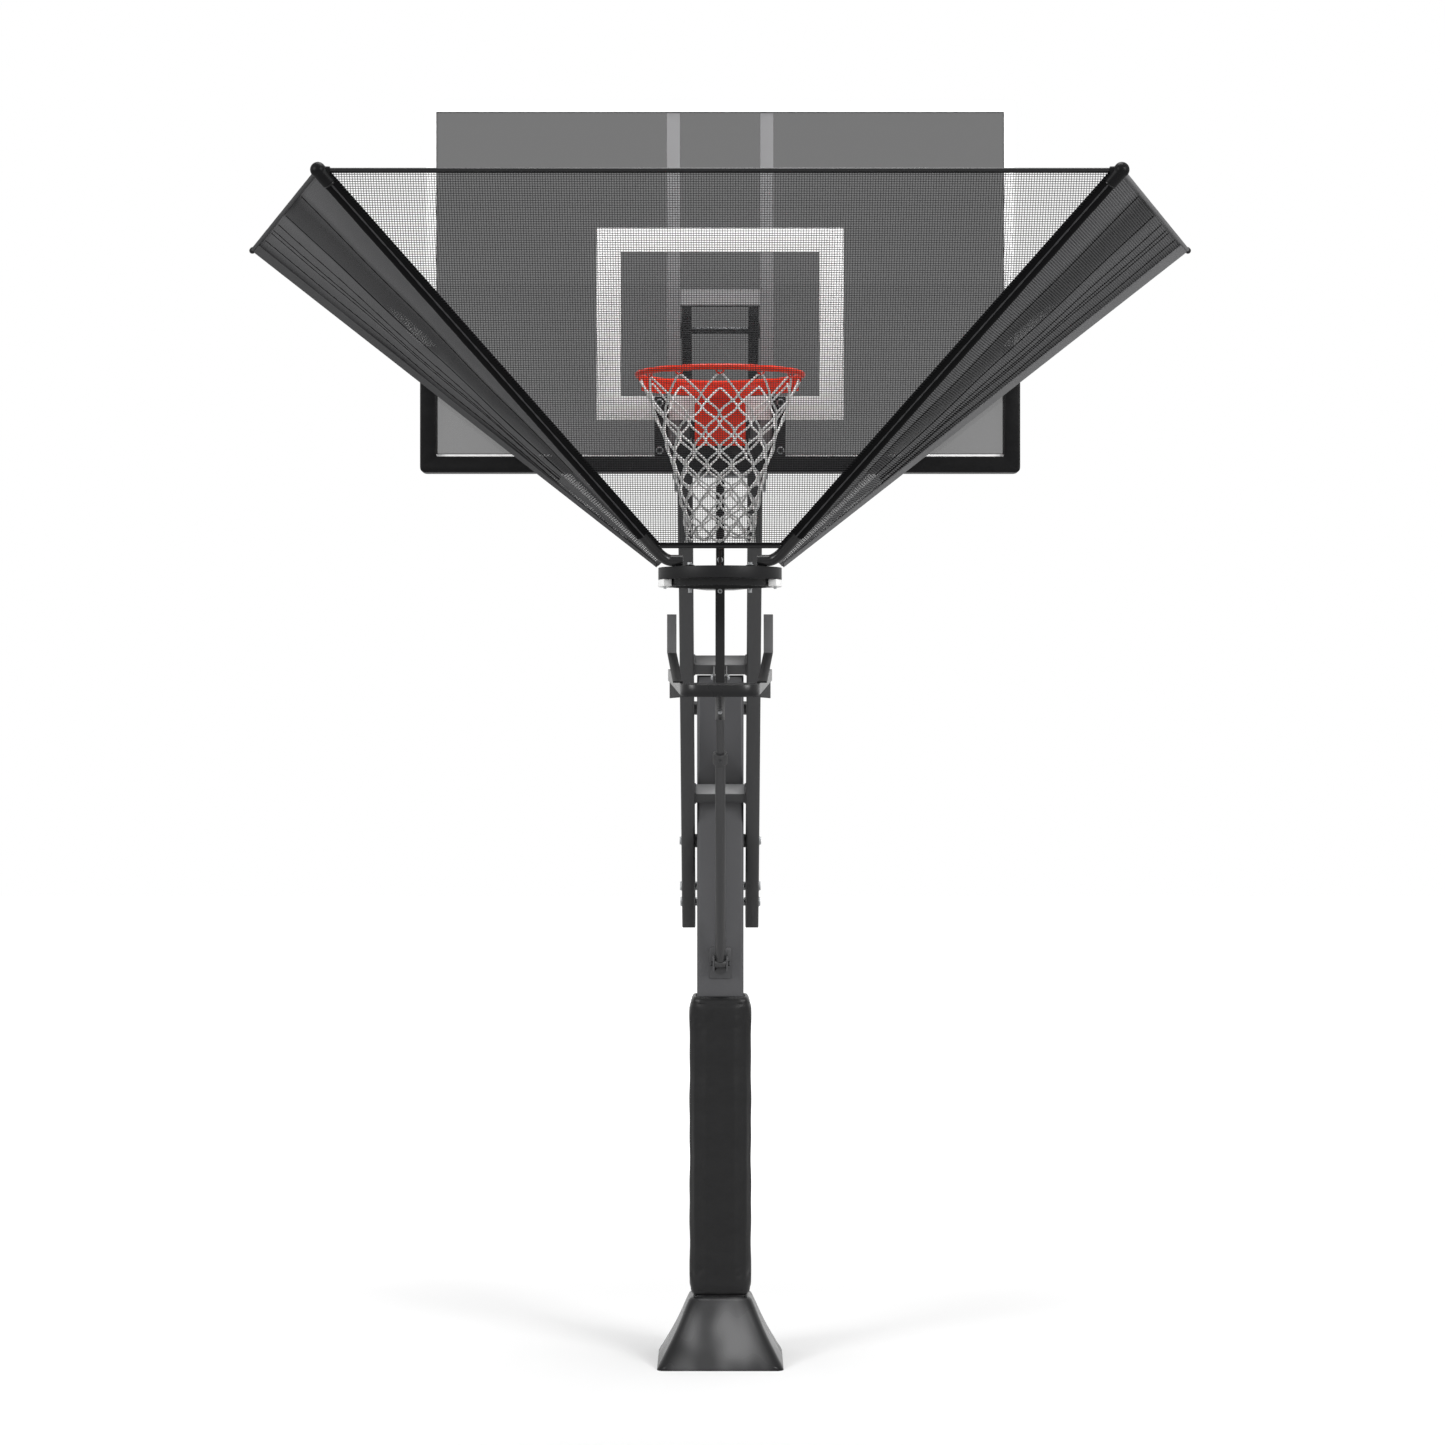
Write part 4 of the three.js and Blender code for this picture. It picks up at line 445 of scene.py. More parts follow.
class Shape:
    """A mesh in the making, to which each method adds."""

    def __init__(self, node=None):
        self.mesh = bmesh.new()
        if node:
            self.mesh.from_mesh(frame["nodes"][node].data)
            bmesh.ops.remove_doubles(self.mesh, verts=self.mesh.verts, dist=MERGE)
            bmesh.ops.dissolve_limit(self.mesh, angle_limit=FLAT, verts=self.mesh.verts,
                                     edges=self.mesh.edges)

    def bevel(self, edges, width, segments, clamp=False):
        bmesh.ops.bevel(self.mesh, geom=edges, offset=width, segments=segments, profile=0.5,
                        affect="EDGES", material=-1, clamp_overlap=clamp)

    def soften(self, width, segments=2, sharp=28, verts=None):
        """Rounds the edges where faces meet at more than sharp degrees."""
        chosen = set(verts or self.mesh.verts)
        self.bevel([
            e for e in self.mesh.edges
            if len(e.link_faces) == 2 and e.calc_face_angle(0) > math.radians(sharp)
            and chosen.issuperset(e.verts)
        ], width, segments, clamp=True)

    def tall_edges(self, height):
        """The edges that rise by more than a height."""
        return [e for e in self.mesh.edges if abs(e.verts[0].co.z - e.verts[1].co.z) > height]

    def move(self, place):
        bmesh.ops.transform(self.mesh, matrix=place, verts=self.mesh.verts)

    def box(self, low, high, edge=0.0, segments=2):
        low, high = Vector(low), Vector(high)
        matrix = Matrix.Translation((low + high) / 2) @ Matrix.Diagonal((*(high - low), 1))
        made = bmesh.ops.create_cube(self.mesh, size=1, matrix=matrix)
        if edge:
            self.soften(edge, segments, verts=made["verts"])

    def rod(self, start, end, radius, sides=24, edge=0.0):
        start, end = Vector(start), Vector(end)
        along = end - start
        turn = along.to_track_quat("Z", "Y").to_matrix().to_4x4()
        made = bmesh.ops.create_cone(
            self.mesh, cap_ends=True, segments=sides, radius1=radius, radius2=radius,
            depth=along.length, matrix=Matrix.Translation((start + end) / 2) @ turn)
        if edge:
            self.soften(edge, 2, sharp=SQUARE, verts=made["verts"])

    def slab(self, line, front, back, corners, steps=5):
        """An outline in X and Z, made thick along Y. corners rounds some of its points."""
        points = []
        for i, (x, z) in enumerate(line):
            here = Vector((x, 0, z))
            room = corners.get(i, 0)
            if not room:
                points.append(here)
                continue
            near = (line[i - 1], line[(i + 1) % len(line)])
            before, after = (toward(here, Vector((px, 0, pz)), room) for px, pz in near)
            points += bend(before, here, after, steps)
        face = self.mesh.faces.new([self.mesh.verts.new((p.x, front, p.z)) for p in points])
        grown = bmesh.ops.extrude_face_region(self.mesh, geom=[face])
        far = [v for v in grown["geom"] if isinstance(v, bmesh.types.BMVert)]
        bmesh.ops.translate(self.mesh, vec=(0, back - front, 0), verts=far)

    def turned(self, section, centre=(0, 0, 0), steps=128):
        """A closed section of (radius, height) pairs, spun about Z."""
        centre = Vector(centre)
        verts = [self.mesh.verts.new(centre + Vector((r, 0, z))) for r, z in section]
        edges = [self.mesh.edges.new((a, b)) for a, b in zip(verts, verts[1:] + verts[:1])]
        bmesh.ops.spin(self.mesh, geom=verts + edges, cent=centre, axis=(0, 0, 1), steps=steps,
                       angle=2 * math.pi, use_merge=True)
        bmesh.ops.remove_doubles(self.mesh, verts=self.mesh.verts, dist=MERGE)

    def ball(self, centre, radius, stretch=(1, 1, 1), rough=2):
        place = Matrix.Translation(centre) @ Matrix.Diagonal((*stretch, 1))
        bmesh.ops.create_icosphere(self.mesh, subdivisions=rough, radius=radius, matrix=place)

    def hex_head(self, base, out, radius, height):
        """A bolt head or nut with its washer, that stands on base and points along out."""
        base, out = Vector(base), Vector(out).normalized()
        washer = height * WASHER_SHARE
        seat, top = base + out * washer, base + out * height
        self.rod(base, seat, radius, edge=washer / 4)
        self.rod(seat, top, radius * 0.86, sides=6, edge=height * 0.1)
        self.rod(base + out * height * 0.9, top, radius * 0.7)

    def piece(self, name, finish, body, *replaced, smooth=35):
        bmesh.ops.recalc_face_normals(self.mesh, faces=self.mesh.faces)
        data = bpy.data.meshes.new(name)
        self.mesh.to_mesh(data)
        self.mesh.free()
        return dress(name, data, finish, body, replaced, smooth)


def coat(data, finish):
    data.materials.clear()
    data.materials.append(finish.material)


def dress(name, data, finish, body, replaced=(), smooth=35):
    """Makes a mesh a shown piece, with its finish, its body and the nodes that it stands for."""
    coat(data, finish)
    data.shade_smooth()
    data.set_sharp_from_angle(angle=math.radians(smooth))
    made = bpy.data.objects.new(name, data)
    scene.collection.objects.link(made)
    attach(made, body)
    if replaced:
        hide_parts(*replaced)
    return made


def evaluated_mesh(made):
    ready = made.evaluated_get(bpy.context.evaluated_depsgraph_get())
    return bpy.data.meshes.new_from_object(ready)


def modify(made, kind, **settings):
    modifier = made.modifiers.new(kind.lower(), kind)
    for key, value in settings.items():
        setattr(modifier, key, value)
    return modifier


def apply_modifiers(made):
    data = evaluated_mesh(made)
    made.modifiers.clear()
    made.data = data


def tubes(name, lines, radius, finish, body, *replaced, sides=8, thickness=None, closed=False):
    """Round strands along lines of points. thickness gives the share of radius at each point."""
    data = bpy.data.curves.new(name, "CURVE")
    data.dimensions = "3D"
    data.bevel_depth = radius
    data.bevel_resolution = (sides - 4) // 2
    data.use_fill_caps = True
    for line in lines:
        spline = data.splines.new("POLY")
        spline.points.add(len(line) - 1)
        spline.use_cyclic_u = closed
        for i, place in enumerate(line):
            spline.points[i].co = (*place, 1)
            spline.points[i].radius = thickness(i) if thickness else 1.0
    curve = bpy.data.objects.new(name + "_path", data)
    scene.collection.objects.link(curve)
    mesh = evaluated_mesh(curve)
    bpy.data.objects.remove(curve)
    return dress(name, mesh, finish, body, replaced, smooth=60)


# Nodes whose mesh stays, in a better finish
DRESSED = {"base_plate": dark_steel, "anchor_bolts": zinc, "backboard_glass": board_glass}

# Nodes that are shown as a finer copy with rounded edges: finish, body, edge width, segments
CARRIED = {
    "strut_bracket": (lug_steel, POST, 0.0012, 2),
    "lower_crossbar": (bar_steel, ARMS_LOWER, 0.0022, 3),
    "upper_crossbar": (dark_steel, ARMS_LOWER, 0.0022, 3),
    "backboard_frame": (white_paint, CARRIAGE, 0.0022, 3),
    "target_square": (white_paint, CARRIAGE, 0.0003, 1),
    "board_subframe": (pale_steel, CARRIAGE, 0.0012, 2),
    "rim_bracket": (black_steel, CARRIAGE, 0.0016, 3),
    "rim_housing": (rim_paint, RIM, 0.0025, 3),
    "guide_shoe_left": (white_nylon, CARRIAGE, 0.0018, 3),
    "guide_shoe_right": (white_nylon, CARRIAGE, 0.0018, 3),
    "return_mast": (black_steel, CARRIAGE, 0.0014, 2),
    "chute_hanger": (black_steel, CHUTE, 0.0014, 2),
    "chute_ramp": (ramp_steel, CHUTE, 0.0010, 2),
    "chute_band": (black_steel, CHUTE, 0.0010, 2),
    "ball_guide_left": (guide_steel, CHUTE, 0.0011, 2),
    "ball_guide_right": (guide_steel, CHUTE, 0.0011, 2),
}


def add_carried():
    for node, finish in DRESSED.items():
        solid = frame["nodes"][node]
        coat(solid.data, finish)
    for node, (finish, body, width, segments) in CARRIED.items():
        shape = Shape(node)
        shape.soften(width, segments)
        shape.piece(node + "_shell", finish, body, node)


# Bolts that run across the goal, with a head, washers and a nut
CROSS_BOLTS = {
    # node: body, shank radius, tail past the nut, spacer radius
    "lower_pivot_bolt": (POST, 0.010, 0.0, 0.0),
    "upper_pivot_bolt": (POST, 0.010, 0.010, 0.0),
    "strut_lower_pin": (POST, 0.006, 0.0, 0.0),
    "strut_upper_pin": (ARMS_LOWER, 0.006, 0.0, 0.0),
    "rear_tie_upper": (ARMS_LOWER, 0.008, 0.0, 0.014),
    "rear_tie_lower": (ARMS_LOWER, 0.008, 0.0, 0.014),
    "front_pivot_bolt_lower": (CARRIAGE, 0.010, 0.0, 0.0),
    "front_pivot_bolt_upper": (CARRIAGE, 0.010, 0.0, 0.0),
    "rim_hinge_pin": (CARRIAGE, 0.006, 0.0, 0.0),
}
CROSS_HEAD = 0.006
ARM_INNER = 0.082  # centre to the lower arms' inner faces


def add_cross_bolts():
    for node, (body, shank, tail, spacer) in CROSS_BOLTS.items():
        low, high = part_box(node)
        y, z = (low.y + high.y) / 2, (low.z + high.z) / 2
        reach = high.x - CROSS_HEAD - tail
        bolt = Shape()
        bolt.rod((-high.x, y, z), (high.x, y, z), shank, edge=shank * 0.15)
        for side in (-1, 1):
            bolt.hex_head((side * reach, y, z), (side, 0, 0), (high.y - low.y) / 2, CROSS_HEAD)
        if spacer:
            bolt.rod((-ARM_INNER, y, z), (ARM_INNER, y, z), spacer, sides=32, edge=FINE_EDGE)
        finish = dark_zinc if node == "strut_lower_pin" else zinc
        bolt.piece(node + "_set", finish, body, node)


# Base cover, pole and pad
POLE_HALF = 0.075
POLE_CORNER = 0.010
COVER_NECK = 0.097
COVER_GAP = 0.001  # round the pole
COVER_CORNER = 0.034
COVER_SHOULDER = 0.012
COVER_SAG = 0.0045  # how far its sides dip
COVER_FLARE = 0.004  # how far its foot turns out
COVER_WALL = 0.004
LID_LIP = 0.006
LID_WALL = 0.0054
LID_EDGES = (0.0028, 0.002)  # of its lip and of its plug


def add_base_cover():
    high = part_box("base_cover")[1]
    foot, rise = high.x, high.z
    cover = Shape()
    mesh = cover.mesh
    cover.box((-foot, -foot, 0), (foot, foot, rise))
    for v in mesh.verts:
        if v.co.z > rise / 2:
            v.co.x *= COVER_NECK / foot
            v.co.y *= COVER_NECK / foot
    cover.bevel(cover.tall_edges(rise / 2), COVER_CORNER, 8)
    lid = [f for f in mesh.faces if f.normal.z > 0.9]
    width = COVER_NECK - POLE_HALF - COVER_GAP
    ledge = bmesh.ops.inset_region(mesh, faces=lid, thickness=width)["faces"]
    ends = [f for f in mesh.faces if abs(f.normal.z) > 0.9 and f not in ledge]
    bmesh.ops.delete(mesh, geom=ends, context="FACES")
    shoulder = [e for e in mesh.edges
                if e.calc_face_angle(0) > 0.7 and min(v.co.z for v in e.verts) > rise - MERGE]
    cover.bevel(shoulder, COVER_SHOULDER, 5)
    bmesh.ops.subdivide_edges(mesh, edges=cover.tall_edges(rise / 2), cuts=14, use_grid_fill=True)
    for v in mesh.verts:
        share = min(max(v.co.z / rise, 0), 1)
        sag = COVER_SAG * math.sin(math.pi * share) ** 2
        flare = COVER_FLARE * max(0.0, 1 - share * 9)
        scale = 1 + (flare - sag) / max(abs(v.co.x), abs(v.co.y), 0.05)
        v.co.x = max(-foot, min(foot, v.co.x * scale))
        v.co.y = max(-foot, min(foot, v.co.y * scale))
    made = cover.piece("base_cover_shell", cover_plastic, POST, "base_cover")
    modify(made, "SOLIDIFY", thickness=COVER_WALL, offset=-1)


def add_pole():
    low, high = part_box("pole")
    pole = Shape()
    pole.box(low, high)
    pole.bevel(pole.tall_edges(POLE_HALF), POLE_CORNER, 6)
    pole.piece("pole_tube", pole_steel, POST, "pole")

    low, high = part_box("pole_cap")
    lid = Shape()
    lid.box((low.x, low.y, high.z - LID_LIP), high, edge=LID_EDGES[0], segments=3)
    lid.box((low.x + LID_WALL, low.y + LID_WALL, low.z),
            (high.x - LID_WALL, high.y - LID_WALL, high.z - LID_LIP + OVERLAP), edge=LID_EDGES[1])
    lid.piece("pole_lid", end_plastic, POST, "pole_cap")


PAD_INNER = POLE_HALF + 0.004  # inside it the pad lies on the pole
PAD_SLIM = 0.004  # room that the filling takes up again
PAD_VOXEL = 0.0085
PAD_SWELL = 0.0055  # how far the filling may push the cover
PAD_STEPS = 20
PAD_CLOTH = {
    "vertex_group_mass": "held", "use_pressure": True, "uniform_pressure_force": 4,
    "tension_stiffness": 12, "bending_stiffness": 1.2,
}
PAD_HEM = 0.024  # from the pad's ends to their stitched hems
PAD_HEM_WIDTH = 0.004
PAD_SINK = 0.0022  # how far the hems draw the cover in
PAD_WAVE = 0.0007  # how far the cover lies uneven
STITCHES = 22  # along each side
STITCH_PITCH = 0.0066
STITCH_LENGTH = 0.0042
STITCH_DEPTH = 0.0035
STITCH_THREAD = 0.0006
FLAP_HALF = 0.022
FLAP_END = 0.012
FLAP_DEPTH = 0.0005  # under the pad's back


def fill_pad(made, rest):
    """Lets a cloth simulation blow the cover up, held on the pole and along its back seam."""
    held = made.vertex_groups.new(name="held")
    held.add([
        i for i, co in enumerate(rest)
        if max(abs(co.x), abs(co.y)) < PAD_INNER or co.y > POLE_HALF and abs(co.x) < PAD_VOXEL
    ], 1.0, "REPLACE")
    settings = modify(made, "CLOTH").settings
    for key, value in PAD_CLOTH.items():
        setattr(settings, key, value)
    settings.effector_weights.gravity = 0
    for step in range(1, PAD_STEPS + 1):
        scene.frame_set(step)
    apply_modifiers(made)
    scene.frame_set(1)


def add_pole_pad():
    low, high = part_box("pole_pad")
    pad = Shape("pole_pad")
    for v in pad.mesh.verts:
        if max(abs(v.co.x), abs(v.co.y)) > PAD_INNER:
            v.co.x -= math.copysign(PAD_SLIM, v.co.x)
            v.co.y -= math.copysign(PAD_SLIM, v.co.y)
    made = pad.piece("pole_pad_cover", pad_vinyl, POST, "pole_pad", smooth=180)
    modify(made, "REMESH", mode="VOXEL", voxel_size=PAD_VOXEL)
    modify(made, "SMOOTH", iterations=6)
    apply_modifiers(made)
    rest = [v.co.copy() for v in made.data.vertices]
    fill_pad(made, rest)
    for v, start in zip(made.data.vertices, rest):
        move = v.co - start
        if move.length > PAD_SWELL:
            v.co = start + move * (PAD_SWELL / move.length)
        x, y, z = start
        if max(abs(x), abs(y)) > PAD_INNER:
            end = min(z - low.z, high.z - z)
            wave = math.sin(z * 21 + 3 * math.copysign(1, x)) + math.sin(z * 47 + 2 * y / 0.1)
            hem = PAD_SINK * math.exp(-((end - PAD_HEM) / PAD_HEM_WIDTH) ** 2)
            v.co += Vector((x, y, 0)).normalized() * (wave * PAD_WAVE - hem)
    modify(made, "SUBSURF", levels=1, render_levels=1)
    made.data.shade_smooth()
    coat(made.data, pad_vinyl)

    stitches = []
    front = STITCH_DEPTH - high.x
    for z in (low.z + PAD_HEM, high.z - PAD_HEM):
        for side in range(4):
            turn = Matrix.Rotation(side * math.pi / 2, 3, "Z")
            for i in range(STITCHES):
                x = (i - STITCHES / 2 + 0.2) * STITCH_PITCH
                ends = Vector((x, front, z)), Vector((x + STITCH_LENGTH, front, z))
                stitches.append([turn @ end for end in ends])
    tubes("pole_pad_stitches", stitches, STITCH_THREAD, hem_tape, POST, sides=6)
    flap = Shape()
    flap.box((-FLAP_HALF, high.y - STITCH_DEPTH, low.z + FLAP_END),
             (FLAP_HALF, high.y - FLAP_DEPTH, high.z - FLAP_END), edge=FINE_EDGE)
    flap.piece("pole_pad_closure", hem_tape, POST)


# Arms and strut
ARMS = (
    # node, joint, body, finish, inner face, width, depth, past the pole, past the board, boss
    ("lower_arm", "height_adjust", ARMS_LOWER, dark_steel,
     ARM_INNER, 0.044, 0.076, 0.350, 0.036, 0.007),
    ("upper_arm", "upper_arm_pivot", "upper_arms", lit_arm_steel,
     0.0845, 0.029, 0.060, 0.040, 0.065, 0.0095),
)
ARM_CORNER = 0.006
BOSS_RADIUS = 0.022
CAP_OUT, CAP_IN, CAP_EDGE = 0.002, 0.001, 0.0009  # plastic caps in the ends of square tubes
CAP_INSET = 0.0015
CROSSBARS = (0.202, 0.730)  # along the lower arms
CROSSBAR_HALF = (0.025, 0.019)  # depth and height
WELD = 0.0035


def arm_place(joint):
    """The frame of an arm, whose Z runs along it from its pole pivot, and the arm's length."""
    pivot, front = (Vector(joints[name]["pos_m"]) for name in ("height_adjust", "board_pivot"))
    run = front - pivot
    turn = Matrix.Rotation(math.atan2(-run.y, run.z), 4, "X")
    return Matrix.Translation(joints[joint]["pos_m"]) @ turn, run.length


def add_arms():
    for name, joint, body, finish, inner, width, depth, rear, front, boss in ARMS:
        place, length = arm_place(joint)
        half = depth / 2
        for label, side in SIDES:
            x0, x1 = sorted((side * inner, side * (inner + width)))
            arm = Shape()
            arm.box((x0, -half, -rear), (x1, half, length + front))
            arm.bevel(arm.tall_edges(half), ARM_CORNER, 4)
            arm.rod((side * (inner - boss + HAIR), 0, 0), (side * (inner + OVERLAP), 0, 0),
                    BOSS_RADIUS, sides=40)
            arm.move(place)
            node = f"{name}_{label}"
            arm.piece(node + "_tube", finish, body, node)
            caps = Shape()
            for low, high in ((-rear - CAP_OUT, -rear + CAP_IN),
                              (length + front - CAP_IN, length + front + CAP_OUT)):
                caps.box((x0 + CAP_INSET, -half + CAP_INSET, low),
                         (x1 - CAP_INSET, half - CAP_INSET, high), edge=CAP_EDGE)
            caps.move(place)
            caps.piece(node + "_end_caps", end_plastic, body)


def add_crossbar_welds():
    place = arm_place("height_adjust")[0]
    deep, tall = CROSSBAR_HALF
    welds = []
    for along in CROSSBARS:
        low, high = along - tall, along + tall
        edges = [((y, low), (y, high)) for y in (-deep, deep)]
        edges += [((-deep, z), (deep, z)) for z in (low, high)]
        for x in (OVERLAP - ARM_INNER, ARM_INNER - OVERLAP):
            for start, end in edges:
                welds.append([place @ point for point in bead((x, *start), (x, *end))])
    tubes("crossbar_welds", welds, WELD, dark_steel, ARMS_LOWER, thickness=ripple)


STRUT_TUBE = {"radius": 0.016, "start": 0.012, "end": 0.735, "foot_width": 0.034, "pin": 0.0065}
STRUT_ROD = {"radius": 0.0125, "start": 0.2327, "length": 0.9907}
STRUT_EYE = {"radius": 0.023, "bore": 0.015, "width": 0.030, "clear": 0.001}
COLLAR = {"radius": 0.023, "bore": 0.0163, "height": 0.036}
COLLAR_EDGE = 0.0015
BARREL_EDGE = 0.0012
SCREW_RADIUS, SCREW_SUNK, SCREW_PROUD = 0.005, 0.002, 0.004  # of the collar's screw


def barrel(outer, bore, width, z):
    """A short tube along X at a height of the strut."""
    made = Shape()
    half = width / 2
    made.turned([(bore, -half), (outer, -half), (outer, half), (bore, half)], steps=40)
    made.soften(BARREL_EDGE, 2, sharp=SQUARE)
    made.move(Matrix.Translation((0, 0, z)) @ Matrix.Rotation(math.pi / 2, 4, "Y"))
    data = bpy.data.meshes.new("barrel")
    made.mesh.to_mesh(data)
    made.mesh.free()
    return data


def add_strut():
    turn = Matrix.Rotation(math.asin(-joints["strut_slide"]["axis"][1]), 4, "X")
    place = Matrix.Translation(joints["strut_pivot"]["pos_m"]) @ turn
    top = STRUT_TUBE["end"]
    tube = Shape()
    tube.rod((0, 0, STRUT_TUBE["start"]), (0, 0, top), STRUT_TUBE["radius"], sides=40, edge=FINE_EDGE)
    foot = barrel(STRUT_TUBE["radius"], STRUT_TUBE["pin"], STRUT_TUBE["foot_width"], 0)
    tube.mesh.from_mesh(foot)

    outer, bore, low = COLLAR["radius"], COLLAR["bore"], top - COLLAR["height"]
    collar = Shape()
    collar.turned([(bore, low), (outer, low), (outer, top), (bore, top)], steps=56)
    collar.soften(COLLAR_EDGE, 3, sharp=SQUARE)
    middle = (top + low) / 2
    screw = Shape()
    screw.rod((0, SCREW_SUNK - outer, middle), (0, -SCREW_PROUD - outer, middle), SCREW_RADIUS,
              edge=SHANK_EDGE)

    rod = Shape()
    length = STRUT_ROD["length"]
    rod.rod((0, 0, STRUT_ROD["start"]), (0, 0, length - STRUT_EYE["bore"] - STRUT_EYE["clear"]),
            STRUT_ROD["radius"], sides=40, edge=FINE_EDGE)
    rod.mesh.from_mesh(barrel(STRUT_EYE["radius"], STRUT_EYE["bore"], STRUT_EYE["width"], length))

    for shape, name, finish, body, *node in (
        (tube, "strut_outer_tube", dark_steel, "strut_outer", "strut_tube"),
        (collar, "strut_clamp_collar", dark_steel, "strut_outer", "strut_collar"),
        (screw, "strut_collar_screw", dark_zinc, "strut_outer"),
        (rod, "strut_inner_rod", dark_steel, "strut_inner", "strut_rod"),
    ):
        shape.move(place)
        shape.piece(name, finish, body, *node)


# Board
GASKET, GASKET_EDGE = 0.003, 0.0006
FRAME_BORDER = 0.031
EDGE_PAD_WIDTH = 0.047
EDGE_PAD_ROUND = 0.0065
EDGE_PAD_CORNERS = {1: 0.016, 2: 0.016, 5: 0.006, 6: 0.006}  # by point of its outline
POST_DEPTH = (0.0013, 0.0293)  # from and to, behind the board's frame
POST_INSET = 0.001


def add_board():
    low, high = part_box("backboard_frame")
    front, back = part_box("backboard_glass")[0].y, high.y
    x, z0, z1 = high.x - FRAME_BORDER, low.z + FRAME_BORDER, high.z - FRAME_BORDER
    half = GASKET / 2
    strips = [(side * x - half, side * x + half, z0, z1) for side in (-1, 1)]
    strips += [(-x, x, z - half, z + half) for z in (z0, z1)]
    gasket = Shape()
    for left, right, foot, top in strips:
        gasket.box((left, front - GASKET, foot), (right, front - HAIR, top), edge=GASKET_EDGE)
    gasket.piece("glass_gasket", end_plastic, CARRIAGE)

    low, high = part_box("backboard_pad")
    outer, inner, ledge = high.x, high.x - EDGE_PAD_WIDTH, low.z + EDGE_PAD_WIDTH
    line = [(-outer, high.z), (-outer, low.z), (outer, low.z), (outer, high.z),
            (inner, high.z), (inner, ledge), (-inner, ledge), (-inner, high.z)]
    pad = Shape()
    pad.slab(line, low.y, high.y, EDGE_PAD_CORNERS)
    pad.soften(EDGE_PAD_ROUND, 4, sharp=50)
    made = pad.piece("backboard_pad_cover", edge_vinyl, CARRIAGE, "backboard_pad", smooth=60)

    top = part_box("board_subframe")[1].z
    caps = Shape()
    for side in (-1, 1):
        x0, x1 = sorted((side * POST_INNER, side * (POST_INNER + POST_WIDTH)))
        caps.box((x0 + POST_INSET, back + POST_DEPTH[0], top - CAP_IN),
                 (x1 - POST_INSET, back + POST_DEPTH[1], top + CAP_OUT), edge=CAP_EDGE)
    caps.piece("post_end_caps", end_plastic, CARRIAGE)


# Rim bracket's bolts, each pair through a strap behind the board
STRAP_HALF = 0.010
STRAP = 0.004
BRACKET_BOLTS = (2.864, 3.005)  # heights
BRACKET_BOLT = 0.006
BOLT_HEAD = 0.011
BOLT_HEAD_HEIGHT = 0.007


def add_bracket_bolts():
    for label in ("left", "right"):
        node = f"rim_bracket_bolts_{label}"
        low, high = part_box(node)
        x = (low.x + high.x) / 2
        head, strap = low.y + BOLT_HEAD_HEIGHT, high.y - BOLT_HEAD_HEIGHT - STRAP
        bolts = Shape()
        bolts.box((x - STRAP_HALF, strap, low.z), (x + STRAP_HALF, strap + STRAP, high.z),
                  edge=FINE_EDGE)
        for z in BRACKET_BOLTS:
            bolts.rod((x, head - OVERLAP, z), (x, high.y, z), BRACKET_BOLT, edge=SHANK_EDGE)
            bolts.hex_head((x, head, z), (0, -1, 0), BOLT_HEAD, BOLT_HEAD_HEIGHT)
            bolts.hex_head((x, strap + STRAP, z), (0, 1, 0), BOLT_HEAD, BOLT_HEAD_HEIGHT * 0.8)
        bolts.piece(node + "_set", zinc, CARRIAGE, node)


SPRING_WIRE = 0.0025
SPRING_TURNS = 6
SPRING_STEPS = 24  # points in a turn


def add_spring():
    low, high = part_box("rim_spring")
    z = (low.z + high.z) / 2
    radius = (high.x - low.x) / 2 - SPRING_WIRE
    start, end = low.y + 2 * SPRING_WIRE, high.y - 2 * SPRING_WIRE
    count = SPRING_TURNS * SPRING_STEPS
    line = [Vector((radius, low.y, z))]
    for i in range(count + 1):
        angle = i / SPRING_STEPS * 2 * math.pi
        y = start + (end - start) * i / count
        line.append(Vector((radius * math.cos(angle), y, z + radius * math.sin(angle))))
    line.append(Vector((radius, high.y, z)))
    tubes("rim_return_spring", [line], SPRING_WIRE, zinc, CARRIAGE, "rim_spring", sides=12)


# Rim and hoop net
HOOP_RADIUS = 0.234
HOOP_TUBE = 0.0085
HOOP_HEIGHT = 3.050
BRACE_DROP = 0.037
BRACE_HALF = math.radians(72)
BRACE_WALL = 0.0025  # half of it
HOOKS = 12
HOOK_WIRE = 0.0028
HOOK_INSET = 0.006
HOOK_DROP = 0.014
HOOK_SPREAD = 0.010
HOOK_RISE = 0.0085
HOOK_TOP = 0.008  # under the hoop's middle
HOOK_ROOT = (0.002, 0.006)  # inside the hoop's circle and under its middle


def around(radius, angle, height):
    return Vector((radius * math.cos(angle), -HOOP_REACH + radius * math.sin(angle), height))


